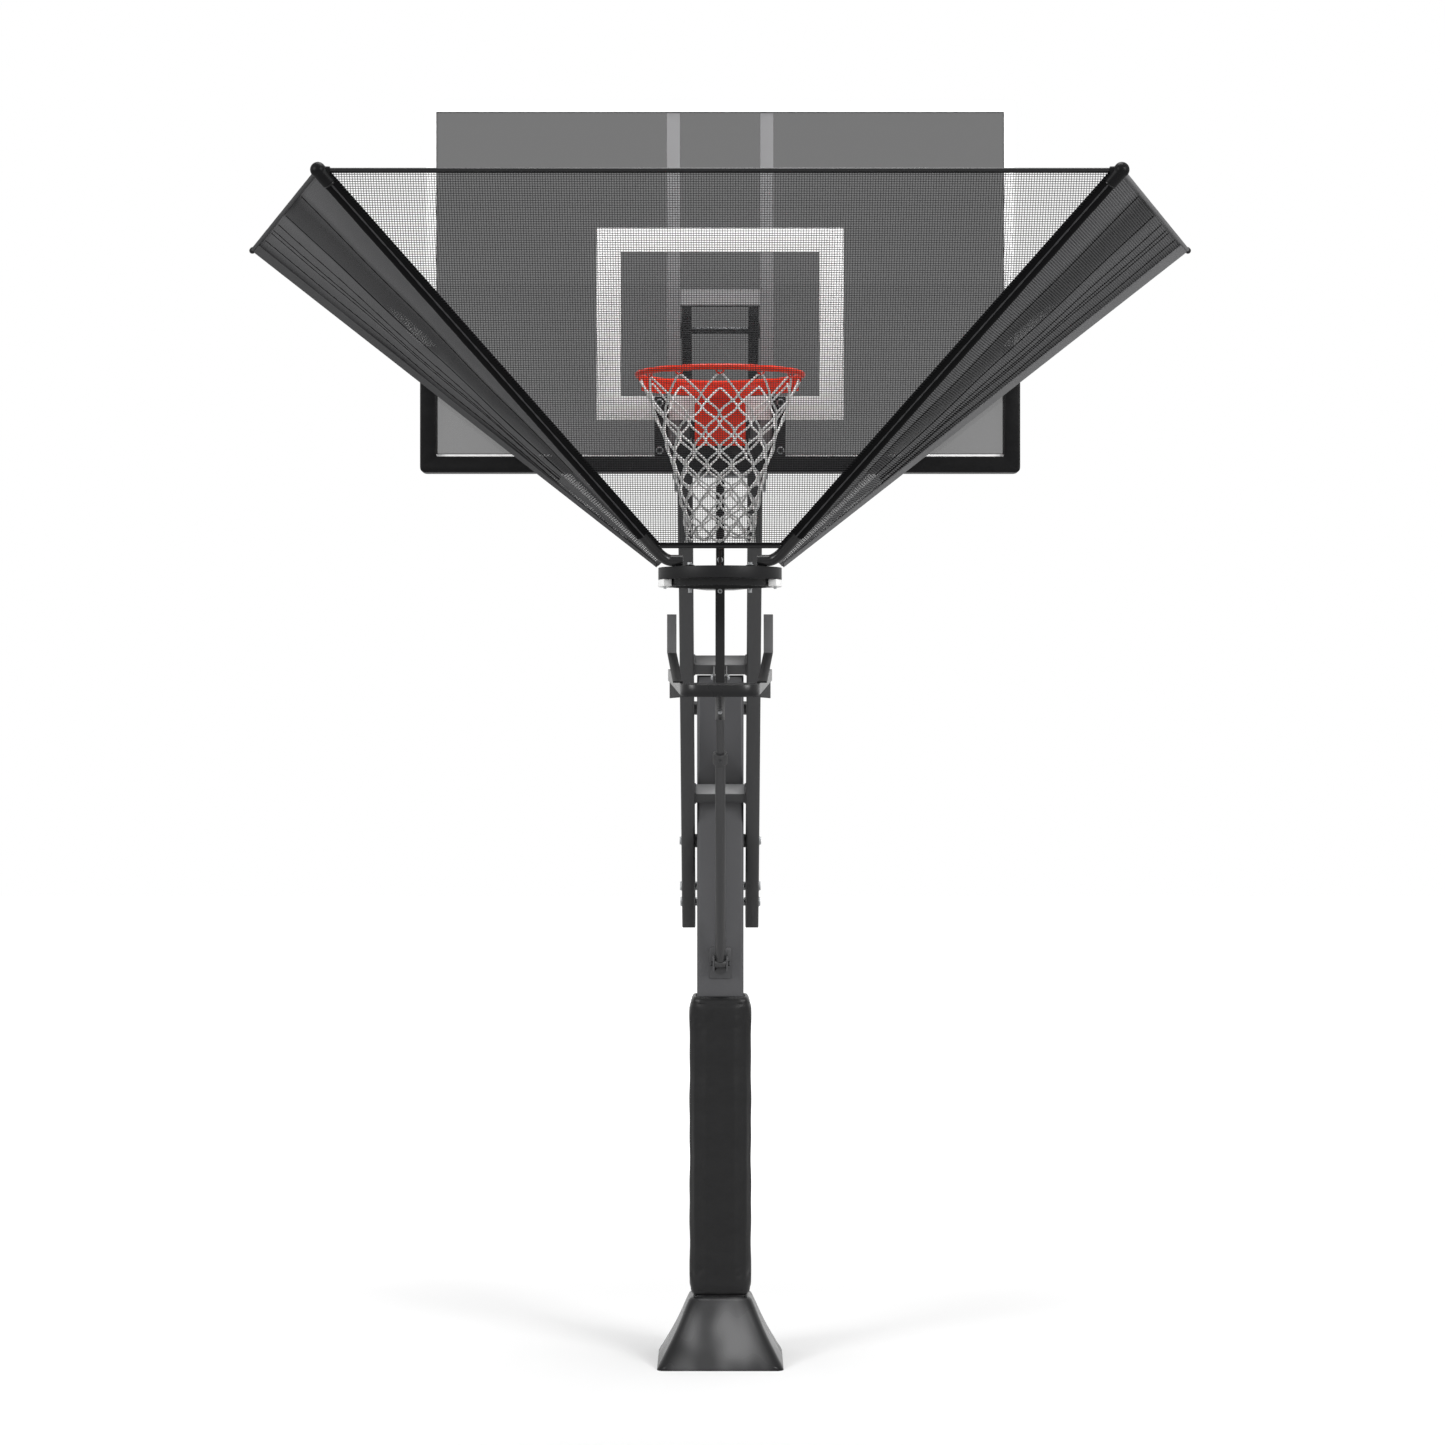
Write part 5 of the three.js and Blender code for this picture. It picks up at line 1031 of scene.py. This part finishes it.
def add_rim():
    circle = [around(HOOP_RADIUS, i / 120 * 2 * math.pi, HOOP_HEIGHT) for i in range(120)]
    tubes("rim_hoop_ring", [circle], HOOP_TUBE, rim_paint, RIM, "rim_hoop", sides=20, closed=True)

    start = math.pi / 2 - BRACE_HALF
    top, bottom = HOOP_HEIGHT - HOOP_TUBE + OVERLAP, HOOP_HEIGHT - BRACE_DROP
    corners = ((-BRACE_WALL, bottom), (BRACE_WALL, bottom), (BRACE_WALL, top), (-BRACE_WALL, top))
    brace = Shape()
    verts = [brace.mesh.verts.new(around(HOOP_RADIUS + out, start, z)) for out, z in corners]
    section = brace.mesh.faces.new(verts)
    bmesh.ops.spin(brace.mesh, geom=[section, *section.edges, *verts], cent=(0, -HOOP_REACH, 0),
                   axis=(0, 0, 1), steps=48, angle=2 * BRACE_HALF)
    brace.soften(FINE_EDGE, 2, sharp=SQUARE)
    brace.piece("rim_rear_brace", rim_paint, RIM)

    radius = HOOP_RADIUS - HOOK_INSET
    spread = HOOK_SPREAD / radius
    loops = []
    for k in range(HOOKS):
        angle = k / HOOKS * 2 * math.pi
        line = []
        for i in range(13):
            t = i / 12 * math.pi
            line.append(around(radius, angle - spread * math.cos(t),
                               HOOP_HEIGHT - HOOK_TOP - HOOK_RISE * math.sin(t)))
        ends = [around(HOOP_RADIUS - HOOK_ROOT[0], angle + side * spread, HOOP_HEIGHT - HOOK_ROOT[1])
                for side in (-1, 1)]
        loops.append([ends[0], *line, ends[1]])
    tubes("rim_net_hooks", loops, HOOK_WIRE, rim_paint, RIM, sides=8)


NET_ROWS = 12
NET_STEPS = 8  # points between two rows of crossings
NET_TOP = 0.226
NET_BOTTOM = 0.097
NET_DROP = 0.457
NET_TAPER = 1.6
NET_CORD = 0.0031
NET_KNOT = 0.0042
NET_TIP = 0.06  # how blunt the turn over a hook is
NET_LOOP = 1.6  # how round the loops of the lowest row are
NET_START = HOOP_HEIGHT - HOOK_DROP - HAIR
NET_WEAVE = 0.0022  # how far the cords pass over and under
NET_SWAY = 0.035  # how far the lowest crossings stray sideways, in radians
NET_HANG = 0.017  # and up and down


def net_radius(share):
    return NET_BOTTOM + (NET_TOP - NET_BOTTOM) * max(1 - share, 0) ** NET_TAPER


def net_shares():
    """How far down each row of crossings is: the cords keep their slope as the net narrows."""
    drops = [0.0]
    for row in range(NET_ROWS):
        drops.append(drops[-1] + net_radius(row / NET_ROWS))
    return [drop / drops[-1] for drop in drops]


def net_across(row, part):
    """How far a cord has gone from one crossing to the next one down."""
    if row == 0:
        return math.sqrt(part * (part + 2 * NET_TIP) / (1 + 2 * NET_TIP))
    if row == NET_ROWS - 1:
        return 1 - (1 - part ** NET_LOOP) ** (1 / NET_LOOP)
    return part - 0.08 * math.sin(2 * math.pi * part)


def add_hoop_net():
    chance = random.Random(11)
    hang = [[chance.uniform(-1, 1) for column in range(2 * HOOKS)] for row in range(NET_ROWS + 1)]
    shares = net_shares()

    def crossing(row, half_column):
        share = shares[row]
        loose = hang[row][half_column % (2 * HOOKS)]
        angle = half_column / (2 * HOOKS) * 2 * math.pi + NET_SWAY * loose * share
        height = NET_START - NET_DROP * share + NET_HANG * loose * share ** 2
        return angle, net_radius(share), height

    lines = []
    for column in range(HOOKS):
        for side in (-1, 1):
            line = []
            for step in range(NET_ROWS * NET_STEPS + 1):
                row = min(step // NET_STEPS, NET_ROWS - 1)
                part = step / NET_STEPS - row
                first = crossing(row, 2 * column + side * row)
                second = crossing(row + 1, 2 * column + side * (row + 1))
                angle = first[0] + (second[0] - first[0]) * net_across(row, part)
                radius, height = (a + (b - a) * part for a, b in zip(first[1:], second[1:]))
                weave = NET_WEAVE * side * math.cos(math.pi * (row + part))
                line.append(around(radius + weave, angle, height))
            lines.append(line)
    tubes("hoop_net_cords", lines, NET_CORD, white_cord, RIM, "hoop_net", sides=8)
    knots = Shape()
    for row in range(1, NET_ROWS + 1):
        for column in range(HOOKS):
            angle, radius, height = crossing(row, 2 * column + row)
            knots.ball(around(radius, angle, height), NET_KNOT, stretch=(1, 1, 1.25))
    knots.piece("hoop_net_knots", white_cord, RIM, smooth=60)


# Return ring, mast and chute
RING_CENTRE = (0, -HOOP_REACH, 0)
RING_RADIUS = 0.1755
RING_INNER = 0.1705
FLANGE = 0.004
FLANGE_INNER = 0.159
RING_EDGES = (0.0011, 0.0009)  # of the return ring, of the swivel ring
SWIVEL_BORE, SWIVEL_WALL, SWIVEL_FLANGE = 0.143, 0.147, 0.1575
SHOE_SCREWS = (0.1635, 0.28)  # radius and angle on either side of the shoe's middle
SHOE_SCREW_HEAD = (0.0042, 0.0035)  # radius and height, as in the rows below
CLAMP_HEAD, CLAMP_NUT = (0.0085, 0.0075), (0.0085, 0.0065)
MAST_HEAD, HANGER_HEAD = (0.009, 0.006), (0.0065, 0.005)
CLAMP_SHANK = 0.005
CLAMP_ACROSS, CLAMP_INNER, CLAMP_HALF = 0.087, 0.074, 0.007  # the mast's clamps behind the ring
CLAMP_TOP = 2.5183
CLAMP_FRONT = -HOOP_REACH + math.sqrt((RING_RADIUS + HAIR) ** 2 - CLAMP_INNER ** 2) + HAIR
PLATE_UNDER = 0.0126  # from the ring's foot down to just under the ring plate
CLAMP_TAIL = 0.0174  # of a clamp bolt, below its nut's seat
MAST_BOLT = (0, -0.969, 2.545)
HANGER_DEPTH = 0.020
HANGER_FOOT = 0.009
BRACE_SLOPE = 0.418
BRACE_BOLT = 0.023  # above the brace's foot


def add_return_ring():
    low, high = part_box("return_ring")
    foot, top = low.z, high.z
    ring = Shape()
    ring.turned([(FLANGE_INNER, foot), (RING_RADIUS, foot), (RING_RADIUS, top), (RING_INNER, top),
                 (RING_INNER, foot + FLANGE), (FLANGE_INNER, foot + FLANGE)], RING_CENTRE)
    ring.soften(RING_EDGES[0], 3, sharp=SQUARE)
    ring.piece("return_ring_band", ring_steel, CARRIAGE, "return_ring")

    low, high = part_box("swivel_ring")
    swivel = Shape()
    swivel.turned([(SWIVEL_BORE, low.z), (SWIVEL_WALL, low.z), (SWIVEL_WALL, foot),
                   (SWIVEL_FLANGE, foot), (SWIVEL_FLANGE, foot + FLANGE),
                   (SWIVEL_WALL, foot + FLANGE), (SWIVEL_WALL, high.z), (SWIVEL_BORE, high.z)],
                  RING_CENTRE)
    swivel.soften(RING_EDGES[1], 3, sharp=SQUARE)
    swivel.piece("swivel_ring_band", black_steel, CHUTE, "swivel_ring")

    (radius, spread), head = SHOE_SCREWS, SHOE_SCREW_HEAD
    for label, side in SIDES:
        node = f"guide_shoe_{label}"
        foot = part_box(node)[0].z
        screws = Shape()
        for turn in (-spread, spread):
            place = around(radius, (0 if side > 0 else math.pi) + turn, foot)
            screws.rod(place, place - Vector((0, 0, head[1])), head[0], edge=SCREW_EDGE)
        screws.piece(node + "_screws", zinc, CARRIAGE)


def add_mast_bolts():
    bolts = Shape()
    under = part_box("return_ring")[0].z - PLATE_UNDER
    y = CLAMP_FRONT + CLAMP_HALF
    for x in (-CLAMP_ACROSS, CLAMP_ACROSS):
        bolts.hex_head((x, y, CLAMP_TOP), (0, 0, 1), *CLAMP_HEAD)
        bolts.rod((x, y, under - CLAMP_TAIL), (x, y, under), CLAMP_SHANK, edge=SCREW_EDGE)
        bolts.hex_head((x, y, under), (0, 0, -1), *CLAMP_NUT)
    bolts.hex_head(MAST_BOLT, (0, -1, 0), *MAST_HEAD)
    bolts.piece("mast_bolts", zinc, CARRIAGE)


def add_hanger_bolts():
    low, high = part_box("chute_hanger")
    front = high.y - HANGER_DEPTH
    bolts = Shape()
    bolts.hex_head((0, front - HANGER_FOOT, high.z - HANGER_HEAD[0]), (0, -1, 0), *HANGER_HEAD)
    bolts.hex_head((0, front - BRACE_BOLT / BRACE_SLOPE, low.z + BRACE_BOLT),
                   (0, -BRACE_SLOPE, -1), *HANGER_HEAD)
    bolts.piece("hanger_bolts", zinc, CHUTE)


# Net frame
TIP = Vector((1.047, -2.212, 3.503))
TUBE_FOOT = Vector((0.155, -1.495, 2.5183))
WING_CORNER = Vector((1.364, -1.112, 3.443))
WING_FOOT = Vector((0.178, -HOOP_REACH, 2.507))
TUBE_RADIUS = 0.016
BAR_RADIUS = 0.005
BOTTOM_BAR = 2.556
BAR_END = TIP.lerp(TUBE_FOOT, (BOTTOM_BAR - TIP.z) / (TUBE_FOOT.z - TIP.z))
TUBE_START = 0.0243  # from the tip, inside the corner fitting
BAR_START = 0.0123
BOTTOM_START = 0.019
ELBOW = 0.095
ELBOW_END = 0.104
ELBOW_BEND = 0.040
ROD_CAP = (0.017, 0.009)  # length and radius
ROD_CAP_EDGE = 0.003
FITTING = 0.0205
SLEEVE_LENGTH = 0.046
FITTING_SLEEVES = ((0.009, 0.032), (0.0198, SLEEVE_LENGTH), (0.009, 0.032))  # radius, length
FITTING_VOXEL = 0.0016


def mirrored(point, side):
    return Vector((side * point.x, point.y, point.z))


def add_net_frame():
    def bar(name, line, radius, sides):
        node = name.rsplit("_", 1)[0]
        tubes(name, [line], radius, black_steel, CARRIAGE, node, sides=sides)

    for label, side in SIDES:
        tip, foot = mirrored(TIP, side), mirrored(TUBE_FOOT, side)
        corner, other = mirrored(WING_CORNER, side), mirrored(TIP, -side)
        elbow = toward(foot, tip, ELBOW)
        run = bead(toward(tip, foot, TUBE_START), toward(elbow, tip, HAIR), 40)
        bar(f"net_tube_{label}_pipe", run, TUBE_RADIUS, 24)
        end = Vector((side * ELBOW_END, foot.y, foot.z))
        curve = bend(toward(foot, tip, ELBOW_BEND), foot, toward(foot, end, ELBOW_BEND / 2), 14)
        bar(f"ring_elbow_{label}_pipe", [elbow, *curve, end], TUBE_RADIUS, 24)
        bar(f"wing_rod_{label}_bar", bead(toward(tip, corner, BAR_START), corner, 20),
            BAR_RADIUS, 16)
        cap = Shape()
        cap.rod(corner, toward(corner, tip, -ROD_CAP[0]), ROD_CAP[1], sides=28, edge=ROD_CAP_EDGE)
        cap.piece(f"wing_rod_{label}_cap", end_plastic, CARRIAGE)

        fitting = Shape()
        fitting.ball(tip, FITTING, rough=4)
        for end, (radius, length) in zip((other, foot, corner), FITTING_SLEEVES):
            fitting.rod(tip, toward(tip, end, length), radius, sides=32)
        made = fitting.piece(f"corner_fitting_{label}_moulding", fitting_plastic, CARRIAGE,
                             f"corner_fitting_{label}", smooth=180)
        modify(made, "REMESH", mode="VOXEL", voxel_size=FITTING_VOXEL)
        modify(made, "SMOOTH", iterations=4)
        apply_modifiers(made)
        made.data.shade_smooth()
        coat(made.data, fitting_plastic)

    for name, end, short, count in (("net_top_bar_rod", TIP, BAR_START, 60),
                                    ("net_bottom_bar_rod", BAR_END, BOTTOM_START, 12)):
        end = end - Vector((short, 0, 0))
        bar(name, bead(mirrored(end, -1), end, count), BAR_RADIUS, 16)


# Nets: knitted threads at a fine pitch between taped hems
PITCH = 0.0069
FRONT_THREAD = (0.0014, 0.0012)  # width in the net, depth
WING_THREAD = (0.0025, 0.0015)
FOLDS = ((0.13, 0.08, 0.005), (0.36, 0.10, -0.007), (0.56, 0.08, 0.005),
         (0.78, 0.06, -0.004))  # share of the way across, width, height
# Black strands along the folds: doubled net, and painted shade
PLEATS = (0.255, 0.495, 0.615, 0.70, 0.74, 0.84)  # share of the way across
PLEAT_RADIUS = 0.0017
PLEAT_START = 0.30  # share of the way out along the wing
PLEAT_END = 0.006  # short of the wing's outer edge
PLEAT_STEPS = 60
FOLD_LIGHT_STOPS = ((0.0, 0.9), (0.20, 1.0), (0.25, 0.36), (0.33, 0.10), (0.48, 0.30), (0.51, 1.0),
              (0.70, 0.85), (0.74, 0.95), (0.84, 0.7), (0.90, 0.05),
              (1.0, 0.0))  # share of the way across, painted light: low in the painted shade of a fold
CLOTH_SLEEVE, ROD_SLEEVE = 0.0012, 0.0008  # thickness of the cloth round tubes and rods
SLEEVE_GAPS = (0.004, 0.012)  # from a sleeve's ends to the fitting and to the elbow
ROD_SLEEVE_GAPS = (0.002, 0.004)  # to the fitting and to the rod's end
GATHER_STEP = 0.012
TUBE_CLEAR = 0.001  # from a wing net to its tube
SEAM = 0.0021
FRONT_HEMS = (0.004, 0.007, 0.006, 0.007)  # widths
HEM_TAPE = 0.0022
WING_HEM = {"width": 0.100, "end_width": 0.030, "thickness": 0.003}
WING_HEM_LIFT = 0.0032  # the free edge's hem lies over the net
WING_FOOT_HEM = 0.014
PIPING = {"width": 0.006, "thickness": 0.0045}


class Net:
    """A flat net on corners in space, with its own axes: across, down and out of the net."""

    def __init__(self, corners, clearances):
        self.origin = corners[0]
        self.across = (corners[1] - corners[0]).normalized()
        self.out = self.across.cross(corners[2] - corners[0]).normalized()
        self.down = self.out.cross(self.across)
        self.facing = -1 if self.out.y > 0 else 1  # the side that the camera sees
        flat = [self.flat(c) for c in corners]
        centre = sum(flat, Vector((0, 0))) / len(flat)
        self.edges = []
        for p, q, clear in zip(flat, flat[1:] + flat[:1], clearances):
            along = (q - p).normalized()
            inward = Vector((-along.y, along.x))
            if inward.dot(centre - p) < 0:
                inward = -inward
            self.edges.append((p + inward * clear, along, inward))
        self.outline = [self.meet(i - 1, i) for i in range(len(flat))]

    def flat(self, point):
        from_origin = point - self.origin
        return Vector((from_origin.dot(self.across), from_origin.dot(self.down)))

    def meet(self, first, second):
        """The place where two edges' lines cross."""
        (p, a, _), (q, b, _) = self.edges[first], self.edges[second]
        gap = q - p
        return p + a * ((gap.x * b.y - gap.y * b.x) / (a.x * b.y - a.y * b.x))

    def vector(self, flat):
        return self.across * flat.x + self.down * flat.y

    def place(self, flat, out=0.0):
        return self.origin + self.across * flat.x + self.down * flat.y + self.out * out

    def sides(self):
        return zip(self.outline, self.outline[1:] + self.outline[:1])

    def span(self, fixed, axis):
        """The two places where a line at a fixed coordinate crosses the outline."""
        hits = []
        for p, q in self.sides():
            a, b = p[axis] - fixed, q[axis] - fixed
            if a * b < 0:
                hits.append(p.lerp(q, a / (a - b))[1 - axis])
        return (min(hits), max(hits)) if len(hits) > 1 else (0, 0)

    def area(self):
        return abs(sum(p.x * q.y - q.x * p.y for p, q in self.sides())) / 2


def add_bar(shape, centre, axes, size):
    turn = Matrix(axes).transposed().to_4x4()
    matrix = Matrix.Translation(centre) @ turn @ Matrix.Diagonal((*size, 1))
    return bmesh.ops.create_cube(shape.mesh, size=1, matrix=matrix)["verts"]


def thread_bars(net, thread):
    width, depth = thread
    shape = Shape()
    for axis in (0, 1):
        places = [p[axis] for p in net.outline]
        low, high = min(places), max(places)
        count = int((high - low) / PITCH)
        start = (low + high) / 2 - count * PITCH / 2
        for i in range(count + 1):
            fixed = start + i * PITCH
            ends = net.span(fixed, axis)
            length = ends[1] - ends[0]
            if length < 2 * PITCH:
                continue
            middle, size = [fixed, sum(ends) / 2], [width, length]
            if axis:
                middle.reverse()
                size.reverse()
            centre = net.place(Vector(middle), -depth / 2 if axis else depth / 2)
            add_bar(shape, centre, (net.across, net.down, net.out), (*size, depth))
    return shape


def fold_rise(share, far):
    """How far a fold lifts the net, from the share of the way across it and the way out."""
    rise = sum(height * math.exp(-((share - at) / wide) ** 2) for at, wide, height in FOLDS)
    swell = math.sin(math.pi * min(max(far, 0.0), 1.0)) ** 0.7
    return (rise + 0.0016 * math.sin(far * 23 + share * 9)) * swell


def painted_fold_light(share):
    """How much painted light the net gets there, little in the shade of a fold: between the stops it
    changes evenly.
    """
    share = min(max(share, 0.0), 1.0)
    for (low, first), (high, second) in zip(FOLD_LIGHT_STOPS, FOLD_LIGHT_STOPS[1:]):
        if share <= high:
            return first + (second - first) * (share - low) / (high - low)


class Fan:
    """The way a wing net's folds spread from where its tube's and its hem's lines meet."""

    def __init__(self, net):
        self.net = net
        self.apex = net.meet(3, 1)
        rays = [corner - self.apex for corner in net.outline[:2]]
        self.first, self.last = (math.atan2(ray.y, ray.x) for ray in rays)
        self.reach = max(ray.length for ray in rays)

    def fold(self, shape):
        """Lifts the threads into long folds and notes the light and shade painted on them."""
        layer = shape.mesh.verts.layers.float.new(FOLD_LIGHTING)
        for v in shape.mesh.verts:
            ray = self.net.flat(v.co) - self.apex
            far = ray.length / self.reach
            share = (math.atan2(ray.y, ray.x) - self.first) / (self.last - self.first)
            # Painted shade in the folds, a little darker towards the fan's apex by the ring
            v[layer] = painted_fold_light(share + 0.05 * (0.7 - far)) * (0.75 + 0.25 * far)
            v.co += self.net.out * self.net.facing * fold_rise(share, far)

    def pleats(self, name):
        """Dark strands along the folds, where the net is doubled: solid black, they also stand in for
        the folds' shade, a painted shade.
        """
        edge, _, inside = self.net.edges[0]
        lines = []
        for share in PLEATS:
            spread = self.first + (self.last - self.first) * share
            along = Vector((math.cos(spread), math.sin(spread)))
            end = ((edge - self.apex).dot(inside) / along.dot(inside) - PLEAT_END) / self.reach
            line = []
            for i in range(PLEAT_STEPS + 1):
                far = PLEAT_START + (end - PLEAT_START) * i / PLEAT_STEPS
                lift = self.net.facing * (fold_rise(share, far) + WING_THREAD[1])
                line.append(self.net.place(self.apex + along * self.reach * far, lift))
            lines.append(line)
        return tubes(name, lines, PLEAT_RADIUS, hem_tape, CARRIAGE, sides=6)


def tape(shape, net, edge, width, thickness=HEM_TAPE, lift=0.0, end_width=None):
    """A sewn tape along one edge of a net. It narrows evenly to end_width."""
    count = len(net.edges)
    _, along, inward = net.edges[edge]
    corner, following = net.outline[edge], net.outline[(edge + 1) % count]
    length = (following - corner).length
    right, up = net.vector(along), net.vector(inward)
    centre = net.place(corner.lerp(following, 0.5) + inward * width / 2, lift)
    before = set(shape.mesh.verts)
    verts = add_bar(shape, centre, (right, up, right.cross(up)), (length, width, thickness))
    long_edges = {e for v in verts for e in v.link_edges if e.calc_length() > width * 1.5}
    bmesh.ops.subdivide_edges(shape.mesh, edges=list(long_edges), cuts=30, use_grid_fill=True)
    for v in set(shape.mesh.verts) - before if end_width else ():
        from_corner = net.flat(v.co) - corner
        narrower = (end_width / width - 1) * from_corner.dot(along) / length
        v.co += up * from_corner.dot(inward) * narrower
        for near in (edge - 1, (edge + 1) % count):  # its ends are cut along the edges next to it
            start, _, inside = net.edges[near]
            past = (net.flat(v.co) - start).dot(inside)
            if past < 0:
                v.co -= right * (past / along.dot(inside))


def sleeve(name, start, end, radius, finish):
    """Cloth sewn round a tube, a little gathered."""
    chance = random.Random(name)
    count = int((end - start).length / GATHER_STEP)
    phases = [chance.uniform(0, 6) for i in range(2)]

    def gather(i):
        return 1 + 0.010 * math.sin(i * 0.9 + phases[0]) + 0.012 * math.sin(i * 0.37 + phases[1])

    return tubes(name, [bead(start, end, count)], radius, finish, CARRIAGE, sides=20,
                 thickness=gather)


def seam(name, start, end, radius):
    """The sewn edge that closes a sleeve, on the side that the camera sees; its lighter tape is a
    painted highlight along the tube.
    """
    along = (end - start).normalized()
    out = Vector((0, -1, 0)) + along * along.y
    shift = out.normalized() * radius
    return tubes(name, [bead(start + shift, end + shift, 90)], SEAM, hem_half_lit, CARRIAGE,
                 thickness=ripple)


def add_front_net():
    front = Net([mirrored(TIP, -1), TIP, BAR_END, mirrored(BAR_END, -1)],
                [BAR_RADIUS, TUBE_RADIUS, BAR_RADIUS, TUBE_RADIUS])
    mesh = thread_bars(front, FRONT_THREAD)
    made = mesh.piece("front_netting", black_netting, CARRIAGE, "front_net", smooth=30)
    for label, side in SIDES:
        tip, foot = mirrored(TIP, side), mirrored(TUBE_FOOT, side)
        start = toward(tip, foot, SLEEVE_LENGTH + SLEEVE_GAPS[0])
        run = (start, toward(foot, tip, ELBOW + SLEEVE_GAPS[1]), TUBE_RADIUS + CLOTH_SLEEVE)
        sleeve(f"net_sleeve_{label}", *run, hem_tape)
        seam(f"net_sleeve_seam_{label}", *run)
    hems = Shape()
    for edge, width in enumerate(FRONT_HEMS):
        tape(hems, front, edge, width)
    hems.piece("front_net_hems", hem_tape, CARRIAGE)
    front.area()


def add_wing_nets():
    for label, side in SIDES:
        tip, corner, wing_foot, foot = (
            mirrored(place, side) for place in (TIP, WING_CORNER, WING_FOOT, TUBE_FOOT))
        wing = Net([tip, corner, wing_foot, foot], [BAR_RADIUS, 0.0, 0.0, TUBE_RADIUS + TUBE_CLEAR])
        fan = Fan(wing)
        mesh = thread_bars(wing, WING_THREAD)
        long_edges = [e for e in mesh.mesh.edges if e.calc_length() > PITCH]
        bmesh.ops.subdivide_edges(mesh.mesh, edges=long_edges, cuts=23, use_grid_fill=True)
        fan.fold(mesh)
        made = mesh.piece(f"wing_netting_{label}", wing_netting, CARRIAGE, f"wing_net_{label}",
                          smooth=30)
        # The right wing's hems are painted lit, the left wing's half lit
        finish = hem_lit if side > 0 else hem_half_lit
        hems, piping = Shape(), Shape()
        tape(hems, wing, 1, lift=wing.facing * WING_HEM_LIFT, **WING_HEM)
        tape(hems, wing, 2, WING_FOOT_HEM)
        tape(piping, wing, 3, **PIPING)
        sewn = [
            hems.piece(f"wing_net_{label}_hems", finish, CARRIAGE),
            piping.piece(f"wing_net_{label}_piping", hem_half_lit, CARRIAGE),
            fan.pleats(f"wing_pleats_{label}"),
            sleeve(f"wing_rod_sleeve_{label}", toward(tip, corner, SLEEVE_LENGTH + ROD_SLEEVE_GAPS[0]),
                   toward(corner, tip, ROD_SLEEVE_GAPS[1]), BAR_RADIUS + ROD_SLEEVE, finish),
        ]
        wing.area()


# Light, floor and background
WORLD_WHITE = 1.0
AMBIENT = 0.55
LAMPS = (
    # name, place, target, size, power
    ("key", (4.8, -6.2, 4.8), (0, -1.0, 2.0), 2.4, 350),
    ("fill", (-5.2, -5.6, 4.6), (0, -1.0, 1.8), 2.4, 265),
    ("top", (0.3, -1.0, 7.5), (0, -0.6, 0), 3.0, 250),
)
FLOOR_HALF = 30.0
FLOOR_TONE = 0.76
GLOW = (0.10, 0.8)  # beside the goal and far from it, for the camera alone: paper runs to white
GLOW_REACH = (1.2, 5.0)  # where the glow starts to rise and where it is full


def add_lamps():
    for name, place, target, size, power in LAMPS:
        data = bpy.data.lights.new(name, "AREA")
        data.energy = power
        data.size = size
        lamp = bpy.data.objects.new(name, data)
        lamp.location = place
        aim = Vector(target) - Vector(place)
        lamp.rotation_euler = aim.to_track_quat("-Z", "Y").to_euler()
        scene.collection.objects.link(lamp)


def add_world():
    """Soft light on the goal, and a white world for the camera, for gloss and through glass."""
    world = bpy.data.worlds.new("studio")
    scene.world = world
    world.use_nodes = True
    nodes, links = world.node_tree.nodes, world.node_tree.links
    nodes.clear()
    seen = nodes.new("ShaderNodeLightPath")
    white = seen.outputs["Is Camera Ray"]
    for ray in ("Is Glossy Ray", "Is Transmission Ray"):
        either = nodes.new("ShaderNodeMath")
        either.operation = "MAXIMUM"
        links.new(white, either.inputs[0])
        links.new(seen.outputs[ray], either.inputs[1])
        white = either.outputs[0]
    choice = nodes.new("ShaderNodeMixShader")
    links.new(white, choice.inputs[0])
    for socket, strength in ((1, AMBIENT), (2, WORLD_WHITE)):
        paper = nodes.new("ShaderNodeBackground")
        paper.inputs["Color"].default_value = (1, 1, 1, 1)
        paper.inputs["Strength"].default_value = strength
        links.new(paper.outputs[0], choice.inputs[socket])
    output = nodes.new("ShaderNodeOutputWorld")
    links.new(choice.outputs[0], output.inputs["Surface"])


def add_floor():
    shape = Shape()
    bmesh.ops.create_grid(shape.mesh, x_segments=2, y_segments=2, size=FLOOR_HALF)
    data = bpy.data.meshes.new("floor")
    shape.mesh.to_mesh(data)
    floor = bpy.data.objects.new("floor", data)
    scene.collection.objects.link(floor)
    finish = Finish("floor_paper", "floor", roughness=1.0, specular_ior_level=0.0)
    finish.set("Base Color", (FLOOR_TONE, FLOOR_TONE, FLOOR_TONE, 1))
    seen = finish.node("LightPath", output="Is Camera Ray")
    x, y, _ = finish.axes()
    far = finish.steps(finish.calc("SQRT", x * x + y * y), *GLOW_REACH)
    glow = finish.node("Emission", None, {"Color": (1, 1, 1, 1),
                                          "Strength": seen * (GLOW[0] + far * GLOW[1])})
    paper = Value(finish, finish.shader.outputs[0])
    both = finish.node("AddShader", None, {0: paper, 1: glow})
    finish.tree.links.new(both.socket, finish.tree.nodes["Material Output"].inputs["Surface"])
    coat(data, finish)


add_carried()
add_base_cover()
add_pole()
add_pole_pad()
add_cross_bolts()
add_arms()
add_crossbar_welds()
add_strut()
add_board()
add_bracket_bolts()
add_spring()
add_rim()
add_hoop_net()
add_return_ring()
add_mast_bolts()
add_hanger_bolts()
add_net_frame()
add_front_net()
add_wing_nets()
add_lamps()
add_world()
add_floor()

scene.view_settings.view_transform = "Standard"
